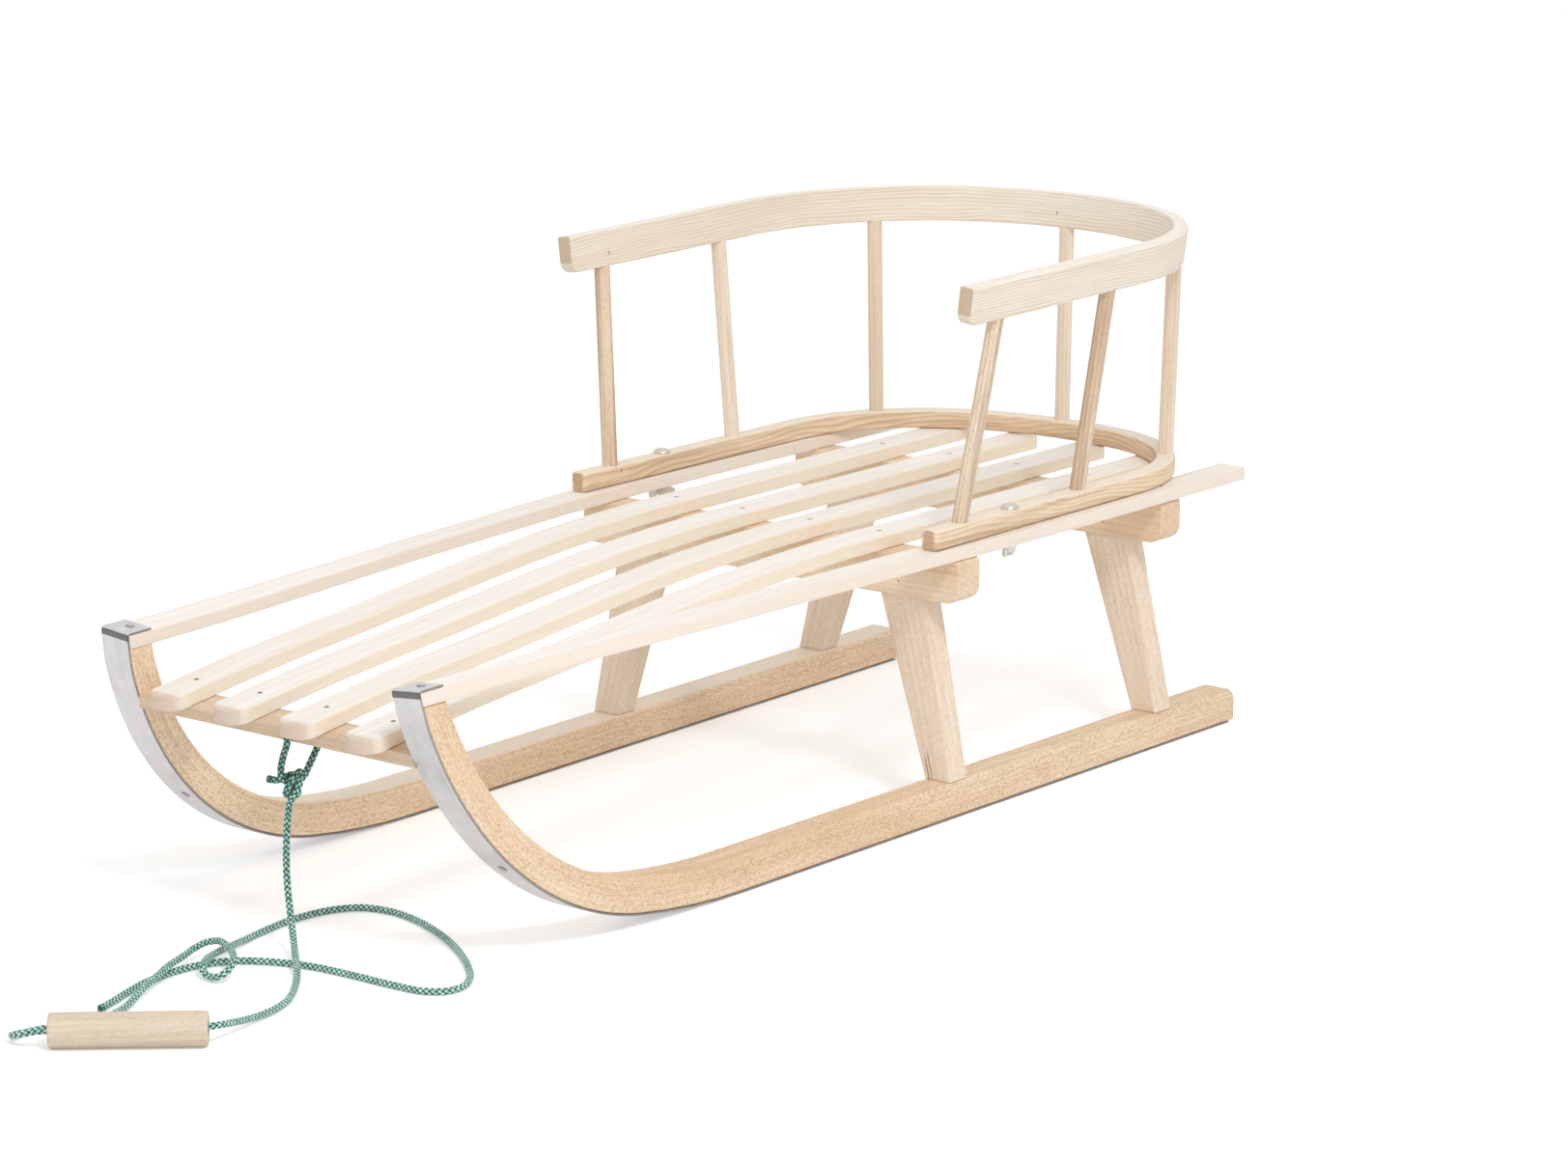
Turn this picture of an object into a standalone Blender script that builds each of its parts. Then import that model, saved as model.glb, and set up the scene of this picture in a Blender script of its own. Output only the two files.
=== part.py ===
# Child's wooden sled with bent runners and a lift-off backrest
#
# Units are metres and +Z is up. The curled tips point to -Y and the
# backrest is at +Y. The sled is the same on both sides of X = 0.
# Distances along the sled are measured from the front of the curled
# tips, and each piece is moved to the middle of the sled as it is made.

import bmesh
import bpy
from math import asin, atan2, cos, pi, radians, sin, sqrt, tan
from mathutils import Vector

# Gaps between pieces that touch, and around what sits in a hole
FIT_GAP = 0.0003
BORE_GAP = 0.0003
MORTISE_REACH = 0.0015

# Step along a line over which its direction is read
READ_STEP = 0.0005

# Overall length, from the curled tips to the back of the backrest
SLED_LENGTH = 0.9435

# Runners, bent from one square stick each
RUNNER_REAR_INSET = 0.005
RUNNER_WIDTH = 0.025
RUNNER_HEIGHT = 0.026
RUNNER_TIP_HEIGHT = 0.0222
RUNNER_HALF_SPREAD = 0.1780
RUNNER_TOE_IN = 0.0155
RUNNER_END_ROUNDING = 0.008
RUNNER_EDGE = 0.0012
CURL_ARCS = ((0.674, 9.35), (0.240, 46.9), (0.252, 70.0), (0.120, 80.5))
CURL_STEP = radians(7.0)
LEAN_IN = 0.0182
LEAN_HEIGHT = 0.200
LEAN_POWER = 1.127

# Steel shoes under the runners, bent back over the outer slats
SHOE_THICKNESS = 0.0013
SHOE_REAR_INSET = 0.007
SHOE_BEND_RADIUS = 0.0015
SHOE_BEND_STEPS = 4
SHOE_LAST_STOP = 0.004
SHOE_FLAP = 0.0215

# Legs, splayed outwards to the runners
LEG_HEIGHT = 0.135
LEG_THICKNESS = 0.0215
LEG_FOOT_WIDTH = 0.023
LEG_HEAD_WIDTH = 0.0388
LEG_HEAD_OUTER = 0.1450
LEG_EDGE = 0.0010
LEG_TENON_THICKNESS = 0.012
LEG_TENON_WIDTH = 0.012
LEG_TENON_LENGTH = 0.011
LEG_HEAD_TENON_WIDTH = 0.026
LEG_HEAD_TENON_LENGTH = 0.018

# Bolsters, the two bars across the legs
REAR_BOLSTER_INSET = 0.1033
BOLSTER_SPACING = 0.266
BOLSTER_HALF_LENGTH = 0.179
BOLSTER_DEPTH = 0.0266
BOLSTER_HEIGHT = 0.0327
BOLSTER_EDGE = 0.0010
BOLSTER_TOP_CORNER = 0.004
BOLSTER_LOW_CORNER = 0.012

# Slats of the seat
SLAT_THICKNESS = 0.010
SLAT_REAR_INSET = 0.014
SLAT_LEVEL_LEAD = 0.0207
SLAT_EDGE = 0.0010
INNER_SLAT_WIDTH = 0.026
INNER_SLAT_CORNER = 0.009
INNER_SLAT_X = ((0.0305, 0.0330), (0.0900, 0.1010))
INNER_SLAT_DROP = (
    (0.000, 0.0442),
    (0.060, 0.0367),
    (0.110, 0.0310),
    (0.200, 0.0228),
    (0.310, 0.0119),
    (0.390, 0.0050),
    (0.470, 0.0011),
    (0.535, 0.0000),
)
OUTER_SLAT_WIDTH = 0.0245
OUTER_SLAT_TIP_INSET = 0.001
OUTER_SLAT_EDGE_X = (
    (0.100, 0.1490),
    (0.200, 0.1560),
    (0.300, 0.1635),
    (0.400, 0.1690),
    (0.500, 0.1750),
    (0.600, 0.1795),
    (0.700, 0.1810),
)
OUTER_SLAT_DROP = ((0.000, 0.0072), (0.200, 0.0042), (0.400, 0.0012), (0.535, 0.0000))
OUTER_SLAT_LEVEL_Y = 0.450
BENT_STOPS = (
    0.075,
    0.110,
    0.155,
    0.200,
    0.255,
    0.310,
    0.350,
    0.390,
    0.430,
    0.470,
    0.500,
    0.535,
)
OUTER_BENT_STOPS = (0.600, 0.660, 0.720)
SLAT_REAR_ROUNDING = 0.003

# Front crossbar under the inner slats, tenoned into both curls
CROSSBAR_Y = 0.0265
CROSSBAR_DEPTH = 0.026
CROSSBAR_HEIGHT = 0.0095
CROSSBAR_EDGE = 0.0012
CROSSBAR_TENON_DEPTH = 0.014
CROSSBAR_TENON_HEIGHT = 0.0055
CROSSBAR_TENON_EDGE = 0.0006
CROSSBAR_TENON_LENGTH = 0.014
CROSSBAR_FLAT_FRONT = 0.001
CROSSBAR_FLAT_BACK = 0.003

# Lower hoop of the backrest, flat on the outer slats
LOWER_HOOP_HALF_WIDTH = 0.174
LOWER_HOOP_INSET = 0.001
LOWER_HOOP_LEAD = 0.0337
LOWER_HOOP_CORNER_INSET = 0.029
LOWER_HOOP_CROWN_RISE = 0.115
LOWER_HOOP_THICKNESS = 0.015
LOWER_HOOP_HEIGHT = 0.015
LOWER_HOOP_END_ROUNDING = 0.003

# Upper hoop, a wide strip that leans outwards
UPPER_HOOP_HALF_WIDTH = 0.192
UPPER_HOOP_SET_BACK = 0.012
UPPER_HOOP_CORNER_INSET = 0.012
UPPER_HOOP_CROWN_RISE = 0.040
UPPER_HOOP_THICKNESS = 0.012
UPPER_HOOP_HEIGHT = 0.0285
UPPER_HOOP_LEAN = radians(7.0)
UPPER_HOOP_RISE = 0.006
UPPER_HOOP_END_ROUNDING = 0.008
HOOP_EDGE = 0.0013
HOOP_STEP = radians(8.0)

# Spindles between the hoops
SPINDLE_LENGTH = 0.1493
SPINDLE_RADIUS = 0.006
SPINDLE_TENON_RADIUS = 0.004
SPINDLE_LOW_TENON = 0.010
SPINDLE_HIGH_TENON = 0.014
FRONT_SPINDLE_RUN = (0.038, 0.053)
MIDDLE_SPINDLE_RUN = (0.189, 0.196)
CORNER_SPINDLE_ANGLE = (radians(55.0), radians(50.0))
ROUND_SEGMENTS = 12
SHARP_ANGLE = radians(35.0)

# Coach bolts that hold the backrest, with their wing nuts
BOLT_RUN = 0.101
BOLT_RADIUS = 0.003
BOLT_HEAD_RADIUS = 0.007
BOLT_HEAD_HEIGHT = 0.0033
BOLT_PAST_NUT = 0.003
WASHER_RADIUS = 0.007
WASHER_THICKNESS = 0.0012
NUT_LOW_RADIUS = 0.0045
NUT_HIGH_RADIUS = 0.0060
NUT_HEIGHT = 0.0055
WING_REACH = 0.0125
WING_LOBE = 0.0036
WING_DROP = 0.0052
WING_THICKNESS = 0.0018
WING_TURN = radians(105.0)

# Wood screws and nails
SCREW_SEGMENTS = 8
SCREW_RADIUS = 0.0015
SCREW_HEAD_RADIUS = 0.0030
SCREW_HEAD_HEIGHT = 0.0010
SLAT_SCREW_LENGTH = 0.024
NAIL_RADIUS = 0.0012
NAIL_HEAD_RADIUS = 0.0025
NAIL_LENGTH = 0.015
NAIL_Y = 0.034
SHOE_SCREW_HEAD_RADIUS = 0.0033
SHOE_SCREW_HEAD_HEIGHT = 0.0007
TIP_SCREW_FROM_BEND = 0.014
TIP_SCREW_LENGTH = 0.026
CURL_SCREW_HEIGHT = 0.066
CURL_SCREW_LENGTH = 0.014

# Pull rope, its knot and its turned wooden handle
ROPE_RADIUS = 0.0025
ROPE_POINTS = 80
ROPE_TURN_WEIGHT = 0.020
TIE_X = 0.0135
TIE_POINTS = 26
TIE_TURN_WEIGHT = 0.004
KNOT_CENTRE = (0.0135, 0.0200, 0.1133)
KNOT_RADIUS = 0.0085
KNOT_HALF_HEIGHT = 0.010
KNOT_SEGMENTS = 16
TAIL_LENGTH = 0.012
HANDLE_RADIUS = 0.0114
HANDLE_BORE_RADIUS = 0.0048
HANDLE_ROUNDING = 0.0018
HANDLE_LENGTH = 0.100
HANDLE_SEGMENTS = 20
HANDLE_RIGHT_END = (0.1131, -0.1645)
HANDLE_HEADING = radians(220.75)

# Places along the sled that follow from its length
UPPER_HOOP_BACK = SLED_LENGTH - UPPER_HOOP_HEIGHT * sin(UPPER_HOOP_LEAN)
LOWER_HOOP_BACK = UPPER_HOOP_BACK - LOWER_HOOP_INSET
SLAT_REAR = LOWER_HOOP_BACK - SLAT_REAR_INSET
RUNNER_REAR = SLAT_REAR - RUNNER_REAR_INSET
REAR_BOLSTER_Y = SLAT_REAR - REAR_BOLSTER_INSET
FRONT_BOLSTER_Y = REAR_BOLSTER_Y - BOLSTER_SPACING
SLAT_LEVEL_Y = FRONT_BOLSTER_Y - SLAT_LEVEL_LEAD
BEND_STRETCH = SLAT_LEVEL_Y / INNER_SLAT_DROP[-1][0]
LOWER_HOOP_FRONT = FRONT_BOLSTER_Y - LOWER_HOOP_LEAD
UPPER_HOOP_FRONT = LOWER_HOOP_FRONT + UPPER_HOOP_SET_BACK
BOLT_Y = LOWER_HOOP_FRONT + BOLT_RUN

# Heights that follow from the sizes above
RUNNER_TOP = SHOE_THICKNESS + FIT_GAP + RUNNER_HEIGHT
LEG_FOOT_Z = RUNNER_TOP + FIT_GAP
LEG_HEAD_Z = LEG_FOOT_Z + LEG_HEIGHT
BOLSTER_UNDERSIDE = LEG_HEAD_Z + FIT_GAP
BOLSTER_TOP = BOLSTER_UNDERSIDE + BOLSTER_HEIGHT
SLAT_UNDERSIDE = BOLSTER_TOP + FIT_GAP
SLAT_TOP = SLAT_UNDERSIDE + SLAT_THICKNESS
LOWER_HOOP_UNDERSIDE = SLAT_TOP + FIT_GAP
LOWER_HOOP_TOP = LOWER_HOOP_UNDERSIDE + LOWER_HOOP_HEIGHT
SPINDLE_FOOT_Z = LOWER_HOOP_TOP + FIT_GAP
UPPER_HOOP_UNDERSIDE = SPINDLE_FOOT_Z + SPINDLE_LENGTH

UP = Vector((0.0, 0.0, 1.0))
ACROSS = Vector((1.0, 0.0, 0.0))

# Route of the pull rope, from the knot to the floor, through the handle
# and round its two loops to the free end: across, along and up
ROPE_ROUTE = (
    (0.0105, 0.0192, 0.0900),
    (0.0078, 0.0185, 0.0660),
    (0.0085, 0.0170, 0.0460),
    (0.0125, 0.0140, 0.0290),
    (0.0210, 0.0070, 0.0160),
    (0.0320, -0.0030, 0.0100),
    (0.0445, -0.0150, 0.0084),
    (0.0590, -0.0285, 0.0055),
    (0.0695, -0.0400, 0.0030),
    (0.0810, -0.0545, 0.0025),
    (0.0930, -0.0730, 0.0025),
    (0.1000, -0.0920, 0.0027),
    (0.1035, -0.1100, 0.0036),
    (0.1075, -0.1280, 0.0062),
    (0.1120, -0.1440, 0.0095),
    (0.1143, -0.1575, 0.0120),
    (0.1119, -0.1645, 0.0122),
    (0.1045, -0.1715, 0.0116),
    (0.0752, -0.1971, 0.0114),
    (0.0373, -0.2297, 0.0114),
    (0.0310, -0.2350, 0.0108),
    (0.0225, -0.2395, 0.0085),
    (0.0125, -0.2375, 0.0050),
    (0.0085, -0.2250, 0.0027),
    (0.0130, -0.2090, 0.0025),
    (0.0210, -0.1910, 0.0025),
    (0.0265, -0.1710, 0.0025),
    (0.0210, -0.1470, 0.0027),
    (0.0120, -0.1240, 0.0060),
    (0.0040, -0.1020, 0.0086),
    (-0.0045, -0.0840, 0.0088),
    (-0.0150, -0.0650, 0.0060),
    (-0.0260, -0.0440, 0.0027),
    (-0.0312, -0.0290, 0.0027),
    (-0.0295, -0.0180, 0.0045),
    (-0.0205, -0.0150, 0.0082),
    (-0.0085, -0.0245, 0.0088),
    (0.0060, -0.0345, 0.0086),
    (0.0165, -0.0460, 0.0075),
    (0.0222, -0.0570, 0.0040),
    (0.0215, -0.0680, 0.0027),
    (0.0140, -0.0725, 0.0040),
    (0.0075, -0.0650, 0.0072),
    (0.0022, -0.0540, 0.0086),
    (-0.0045, -0.0420, 0.0082),
    (-0.0115, -0.0290, 0.0045),
    (-0.0160, -0.0180, 0.0026),
    (-0.0195, -0.0050, 0.0025),
    (-0.0235, 0.0190, 0.0025),
    (-0.0277, 0.0578, 0.0025),
    (-0.0232, 0.0879, 0.0025),
    (-0.0102, 0.1070, 0.0025),
    (0.0125, 0.1130, 0.0025),
    (0.0405, 0.1083, 0.0025),
    (0.0772, 0.0931, 0.0025),
    (0.1136, 0.0710, 0.0025),
    (0.1390, 0.0507, 0.0025),
    (0.1540, 0.0350, 0.0025),
    (0.1620, 0.0190, 0.0025),
    (0.1605, 0.0050, 0.0025),
    (0.1490, -0.0040, 0.0025),
    (0.1270, -0.0070, 0.0025),
    (0.0894, -0.0080, 0.0025),
    (0.0610, -0.0100, 0.0025),
    (0.0435, -0.0140, 0.0025),
    (0.0240, -0.0220, 0.0025),
    (0.0070, -0.0340, 0.0025),
    (-0.0040, -0.0530, 0.0025),
    (-0.0075, -0.0725, 0.0025),
    (-0.0072, -0.0895, 0.0025),
    (-0.0050, -0.1070, 0.0025),
    (0.0010, -0.1280, 0.0025),
    (0.0070, -0.1460, 0.0025),
    (0.0115, -0.1610, 0.0025),
)


# Scene, materials and solids


def clear_scene():
    for thing in list(bpy.data.objects):
        bpy.data.objects.remove(thing, do_unlink=True)


def make_material(name, colour, roughness, metallic=0.0):
    mat = bpy.data.materials.new(name)
    mat.use_nodes = True
    shader = mat.node_tree.nodes["Principled BSDF"]
    shader.inputs["Base Color"].default_value = (*colour, 1.0)
    shader.inputs["Roughness"].default_value = roughness
    shader.inputs["Metallic"].default_value = metallic
    return mat


def placed(point, side=1):
    """Point of the sled, moved to the middle and put on one side of X = 0."""
    return Vector((side * point[0], point[1] - SLED_LENGTH / 2, point[2]))


def ring_faces(ring_count, points, joined):
    faces = []
    for k in range(ring_count if joined else ring_count - 1):
        here = k * points
        there = ((k + 1) % ring_count) * points
        for j in range(points):
            after = (j + 1) % points
            faces.append((here + j, here + after, there + after, there + j))
    if not joined:
        faces.append(tuple(reversed(range(points))))
        faces.append(tuple(range((ring_count - 1) * points, ring_count * points)))
    return faces


def make_mesh(name, bodies, side=1, pivot=None, joined=False):
    """One mesh from bodies, each a list of rings of points."""
    centre = placed(pivot, side) if pivot is not None else Vector()
    verts = []
    faces = []
    for rings in bodies:
        start = len(verts)
        verts += [placed(point, side) - centre for ring in rings for point in ring]
        for face in ring_faces(len(rings), len(rings[0]), joined):
            faces.append(tuple(start + index for index in face))
    mesh = bpy.data.meshes.new(name)
    mesh.from_pydata(verts, [], faces)
    shell = bmesh.new()
    shell.from_mesh(mesh)
    bmesh.ops.recalc_face_normals(shell, faces=shell.faces[:])
    shell.to_mesh(mesh)
    shell.free()
    thing = bpy.data.objects.new(name, mesh)
    thing.location = centre
    bpy.context.scene.collection.objects.link(thing)
    return thing


def solid(name, rings, mat, side=1, pivot=None, joined=False):
    thing = make_mesh(name, [rings], side, pivot, joined)
    thing.data.materials.append(mat)
    return thing


def round_solid(name, rings, mat, side=1, pivot=None, joined=False):
    """A turned piece: smooth round its axis, with its edges kept crisp."""
    thing = solid(name, rings, mat, side, pivot, joined)
    for face in thing.data.polygons:
        face.use_smooth = True
    thing.data.set_sharp_from_angle(angle=SHARP_ANGLE)
    return thing


def combine(target, operation, bodies, side=1, pivot=None):
    """Cuts the bodies out of the target, or joins them to it."""
    tool = make_mesh(target.name + "_tool", bodies, side, pivot)
    tool.hide_render = True
    tool.display_type = "WIRE"
    step = target.modifiers.new(operation.lower(), "BOOLEAN")
    step.operation = operation
    step.solver = "EXACT"
    step.object = tool
    return tool


# Outlines and curves


def cut_corners(half_width, low, high, radii, steps=1):
    """Rectangle with rounded corners, from the low left one anticlockwise."""
    points = []
    corners = ((-1, 0, 180), (1, 0, 270), (1, 1, 0), (-1, 1, 90))
    for (right, top, turn), radius in zip(corners, radii):
        u = right * (half_width - radius)
        v = high - radius if top else low + radius
        for k in range(steps + 1):
            angle = radians(turn + 90 * k / steps)
            points.append((u + radius * cos(angle), v + radius * sin(angle)))
    return points


def smooth_curve(points, position):
    """Value at a position on a smooth curve through (position, value) points."""
    if position >= points[-1][0]:
        return points[-1][1]
    slopes = []
    for k in range(len(points)):
        before = points[max(k - 1, 0)]
        after = points[min(k + 1, len(points) - 1)]
        slopes.append((after[1] - before[1]) / (after[0] - before[0]))
    slopes[-1] = 0.0
    k = 0
    while k < len(points) - 2 and position > points[k + 1][0]:
        k += 1
    span = points[k + 1][0] - points[k][0]
    t = (position - points[k][0]) / span
    if t < 0:
        return points[0][1] + slopes[0] * (position - points[0][0])
    rise = 3 * t ** 2 - 2 * t ** 3
    first = (t - 2 * t ** 2 + t ** 3) * span * slopes[k]
    last = (t ** 3 - t ** 2) * span * slopes[k + 1]
    return points[k][1] + (points[k + 1][1] - points[k][1]) * rise + first + last


def smooth_route(route, steps=10):
    """Dense smooth line through the points of a route."""
    ends = [2 * route[0] - route[1]] + route + [2 * route[-1] - route[-2]]
    line = []
    for k in range(1, len(ends) - 2):
        p0, p1, p2, p3 = ends[k - 1:k + 3]
        t1 = sqrt((p1 - p0).length)
        t2 = t1 + sqrt((p2 - p1).length)
        t3 = t2 + sqrt((p3 - p2).length)
        for step in range(steps):
            t = t1 + (t2 - t1) * step / steps
            a1 = p0 + (p1 - p0) * (t / t1)
            a2 = p1 + (p2 - p1) * ((t - t1) / (t2 - t1))
            a3 = p2 + (p3 - p2) * ((t - t2) / (t3 - t2))
            b1 = a1 + (a2 - a1) * (t / t2)
            b2 = a2 + (a3 - a2) * ((t - t1) / (t3 - t1))
            line.append(b1 + (b2 - b1) * ((t - t1) / (t2 - t1)))
    return line + [route[-1]]


def spaced_points(line, count, turn_weight):
    """Points along a line, closer together where it turns."""
    cost = [0.0]
    for k in range(1, len(line)):
        here = line[k] - line[k - 1]
        turn = 0.0
        if k > 1:
            turn = here.angle(line[k - 1] - line[k - 2])
        cost.append(cost[-1] + here.length + turn_weight * turn)
    points = []
    k = 0
    for step in range(count):
        goal = cost[-1] * step / (count - 1)
        while k < len(line) - 2 and cost[k + 1] < goal:
            k += 1
        share = (goal - cost[k]) / (cost[k + 1] - cost[k])
        points.append(line[k] + (line[k + 1] - line[k]) * min(max(share, 0.0), 1.0))
    return points


def turned(profile, base, axis, segments=ROUND_SEGMENTS):
    """Rings round an axis: the profile gives each ring's radius and distance."""
    axis = axis.normalized()
    side = ACROSS if abs(axis.x) < 0.7 else UP
    first = (side - axis * side.dot(axis)).normalized()
    second = axis.cross(first)
    rings = []
    for radius, distance in profile:
        ring = []
        for k in range(segments):
            angle = 2 * pi * (k + 0.5) / segments
            spoke = first * cos(angle) + second * sin(angle)
            ring.append(base + axis * distance + spoke * radius)
        rings.append(ring)
    return rings


def slid_onto(point, direction, plane_point, normal):
    """Point moved along a direction until it lies on a plane."""
    return point + direction * ((plane_point - point).dot(normal) / direction.dot(normal))


# Line of the runners


def curl_bends():
    """Start of each bend of the curl: radius, heading, distance, height, length."""
    bends = []
    forward = height = heading = length = 0.0
    for radius, degrees in CURL_ARCS:
        turn = radians(degrees)
        bends.append((radius, heading, forward, height, length))
        forward += radius * (sin(turn) - sin(heading))
        height += radius * (cos(heading) - cos(turn))
        length += radius * (turn - heading)
        heading = turn
    bends.append((None, heading, forward, height, length))
    return bends


CURL_BENDS = curl_bends()
LAST_HEADING, LAST_FORWARD, LAST_HEIGHT, CURL_LENGTH = CURL_BENDS[-1][1:]
TIP_UNDERSIDE = SLAT_UNDERSIDE - OUTER_SLAT_DROP[0][1]
SHOE_BEND_Z = TIP_UNDERSIDE + SLAT_THICKNESS - SHOE_BEND_RADIUS
CURL_START_Y = LAST_FORWARD + (SHOE_BEND_Z - LAST_HEIGHT) / tan(LAST_HEADING)


def curl_point(length):
    """Distance along the sled and height, at a length along the curl."""
    if length <= 0:
        return CURL_START_Y - length, 0.0
    for radius, heading, forward, height, start in reversed(CURL_BENDS):
        if length >= start:
            break
    if radius is None:
        run = length - start
        forward += run * cos(heading)
        height += run * sin(heading)
    else:
        turn = heading + (length - start) / radius
        forward += radius * (sin(turn) - sin(heading))
        height += radius * (cos(heading) - cos(turn))
    return CURL_START_Y - forward, height


def runner_middle(y):
    return RUNNER_HALF_SPREAD - RUNNER_TOE_IN * (RUNNER_REAR - y) - RUNNER_WIDTH / 2


def runner_line(length):
    y, z = curl_point(length)
    return Vector((runner_middle(y) - LEAN_IN * (z / LEAN_HEIGHT) ** LEAN_POWER, y, z))


def runner_frame(length):
    """Point on the underside, and the directions forward, outward and into the wood."""
    ahead = runner_line(length + READ_STEP)
    forward = (ahead - runner_line(length - READ_STEP)).normalized()
    outward = (ACROSS - forward * ACROSS.dot(forward)).normalized()
    return runner_line(length), forward, outward, forward.cross(outward)


def runner_spot(length, u, n):
    point, _, outward, inward = runner_frame(length)
    return point + outward * u + inward * n


def wood_height(length):
    share = min(max(length / CURL_LENGTH, 0.0), 1.0)
    return RUNNER_HEIGHT + (RUNNER_TIP_HEIGHT - RUNNER_HEIGHT) * share


def curl_lengths():
    """Lengths along the curl at which a ring of points is made."""
    lengths = [0.0]
    for bend, after in zip(CURL_BENDS, CURL_BENDS[1:]):
        steps = max(1, round((after[1] - bend[1]) / CURL_STEP))
        for k in range(1, steps + 1):
            lengths.append(bend[4] + (after[4] - bend[4]) * k / steps)
    return lengths


def length_at_height(height, n):
    """Length along the curl where a point n deep in the wood is at a height."""
    low, high = 0.0, CURL_LENGTH * 1.2
    for _ in range(40):
        middle = (low + high) / 2
        if runner_spot(middle, 0.0, n).z < height:
            low = middle
        else:
            high = middle
    return low


WOOD_BOTTOM = SHOE_THICKNESS + FIT_GAP


# Line of the outer slats, which lie on the tips of the runners


def outer_underside(y):
    return SLAT_UNDERSIDE - smooth_curve(OUTER_SLAT_DROP, y / BEND_STRETCH)


def tip_frame():
    """Frame of the runner where its end meets the outer slat."""
    length = length_at_height(TIP_UNDERSIDE, WOOD_BOTTOM + RUNNER_TIP_HEIGHT / 2)
    return (length, *runner_frame(length))


TIP_LENGTH, TIP_POINT, TIP_FORWARD, TIP_OUTWARD, TIP_INWARD = tip_frame()
TIP_MIDDLE = TIP_POINT + TIP_INWARD * (WOOD_BOTTOM + RUNNER_TIP_HEIGHT / 2)
TIP_TILT = atan2(TIP_OUTWARD.z, TIP_OUTWARD.x)


def outer_slat_middle(y):
    front = (0.0, TIP_MIDDLE.x - OUTER_SLAT_TIP_INSET + OUTER_SLAT_WIDTH / 2)
    edge = smooth_curve((front, *OUTER_SLAT_EDGE_X), y / BEND_STRETCH)
    return edge - OUTER_SLAT_WIDTH / 2


def outer_slat_tilt(y):
    share = min(max(y / BEND_STRETCH / OUTER_SLAT_LEVEL_Y, 0.0), 1.0)
    return TIP_TILT * (1 - 3 * share ** 2 + 2 * share ** 3)


def outer_slat_frame(y):
    """Middle of the underside, and the directions across, up and along."""
    ahead = y + READ_STEP
    behind = y - READ_STEP
    middle = Vector((outer_slat_middle(y), y, outer_underside(y)))
    tilt = outer_slat_tilt(y)
    across = Vector((cos(tilt), 0.0, sin(tilt)))
    up = Vector((-sin(tilt), 0.0, cos(tilt)))
    along = Vector((
        outer_slat_middle(ahead) - outer_slat_middle(behind),
        ahead - behind,
        outer_underside(ahead) - outer_underside(behind),
    )).normalized()
    return middle, across, up, along


def tip_plane(height):
    """Plane parallel to the outer slat's underside at the tip, at a height over it."""
    middle, _, _, along = outer_slat_frame(TIP_MIDDLE.y)
    normal = TIP_OUTWARD.cross(along).normalized()
    return middle + normal * height, normal


# Runners and their shoes


def make_runner(side, mat):
    rings = []
    corners = (RUNNER_EDGE, RUNNER_EDGE, 2 * RUNNER_EDGE, 2 * RUNNER_EDGE)
    rear = CURL_START_Y - RUNNER_REAR
    for k in range(4):
        swing = pi / 2 * k / 3
        length = rear + RUNNER_END_ROUNDING * (1 - cos(swing))
        drop = RUNNER_END_ROUNDING * (1 - sin(swing))
        section = cut_corners(
            RUNNER_WIDTH / 2,
            WOOD_BOTTOM,
            WOOD_BOTTOM + RUNNER_HEIGHT - drop,
            corners,
        )
        rings.append([runner_spot(length, u, n) for u, n in section])
    plane_point, normal = tip_plane(-FIT_GAP)
    for length in curl_lengths():
        section = cut_corners(
            RUNNER_WIDTH / 2,
            WOOD_BOTTOM,
            WOOD_BOTTOM + wood_height(length),
            corners,
        )
        ring = [runner_spot(length, u, n) for u, n in section]
        if max((point - plane_point).dot(normal) for point in ring) < 0:
            rings.append(ring)
    ends = [slid_onto(point, TIP_FORWARD, plane_point, normal) for point in rings[-1]]
    rings.append(ends)
    name = "runner_left" if side > 0 else "runner_right"
    return solid(name, rings, mat, side)


def flap_direction():
    """Direction of the shoe's flap: rearwards along the top of the outer slat."""
    _, normal = tip_plane(0.0)
    return TIP_OUTWARD.cross(normal).normalized() * -1


def make_shoe(side, mat):
    half = RUNNER_WIDTH / 2
    inner = SHOE_THICKNESS
    rings = []
    plane_point, normal = tip_plane(SLAT_THICKNESS + FIT_GAP)
    back = flap_direction()
    bend = TIP_FORWARD.angle(back)
    tangent = SHOE_BEND_RADIUS * tan(bend / 2)
    rear = CURL_START_Y - RUNNER_REAR + SHOE_REAR_INSET
    last = TIP_LENGTH - SHOE_LAST_STOP
    lengths = [rear] + [length for length in curl_lengths() if length < last]
    for length in lengths:
        rings.append([
            runner_spot(length, -half, 0.0),
            runner_spot(length, half, 0.0),
            runner_spot(length, half, inner),
            runner_spot(length, -half, inner),
        ])
    hinge = {}
    for u in (-half, half):
        start = TIP_POINT + TIP_OUTWARD * u + TIP_INWARD * inner
        crease = slid_onto(start, TIP_FORWARD, plane_point, normal)
        hinge[u] = crease - TIP_FORWARD * tangent + TIP_INWARD * SHOE_BEND_RADIUS
    for k in range(SHOE_BEND_STEPS + 1):
        swing = bend * k / SHOE_BEND_STEPS
        spoke = TIP_FORWARD * sin(swing) - TIP_INWARD * cos(swing)
        near = spoke * SHOE_BEND_RADIUS
        far = spoke * (SHOE_BEND_RADIUS + SHOE_THICKNESS)
        rings.append([
            hinge[-half] + far,
            hinge[half] + far,
            hinge[half] + near,
            hinge[-half] + near,
        ])
    run = back * (SHOE_FLAP - SHOE_BEND_RADIUS)
    rings.append([point + run for point in rings[-1]])
    name = "shoe_left" if side > 0 else "shoe_right"
    return solid(name, rings, mat, side)


# Legs and bolsters


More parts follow.
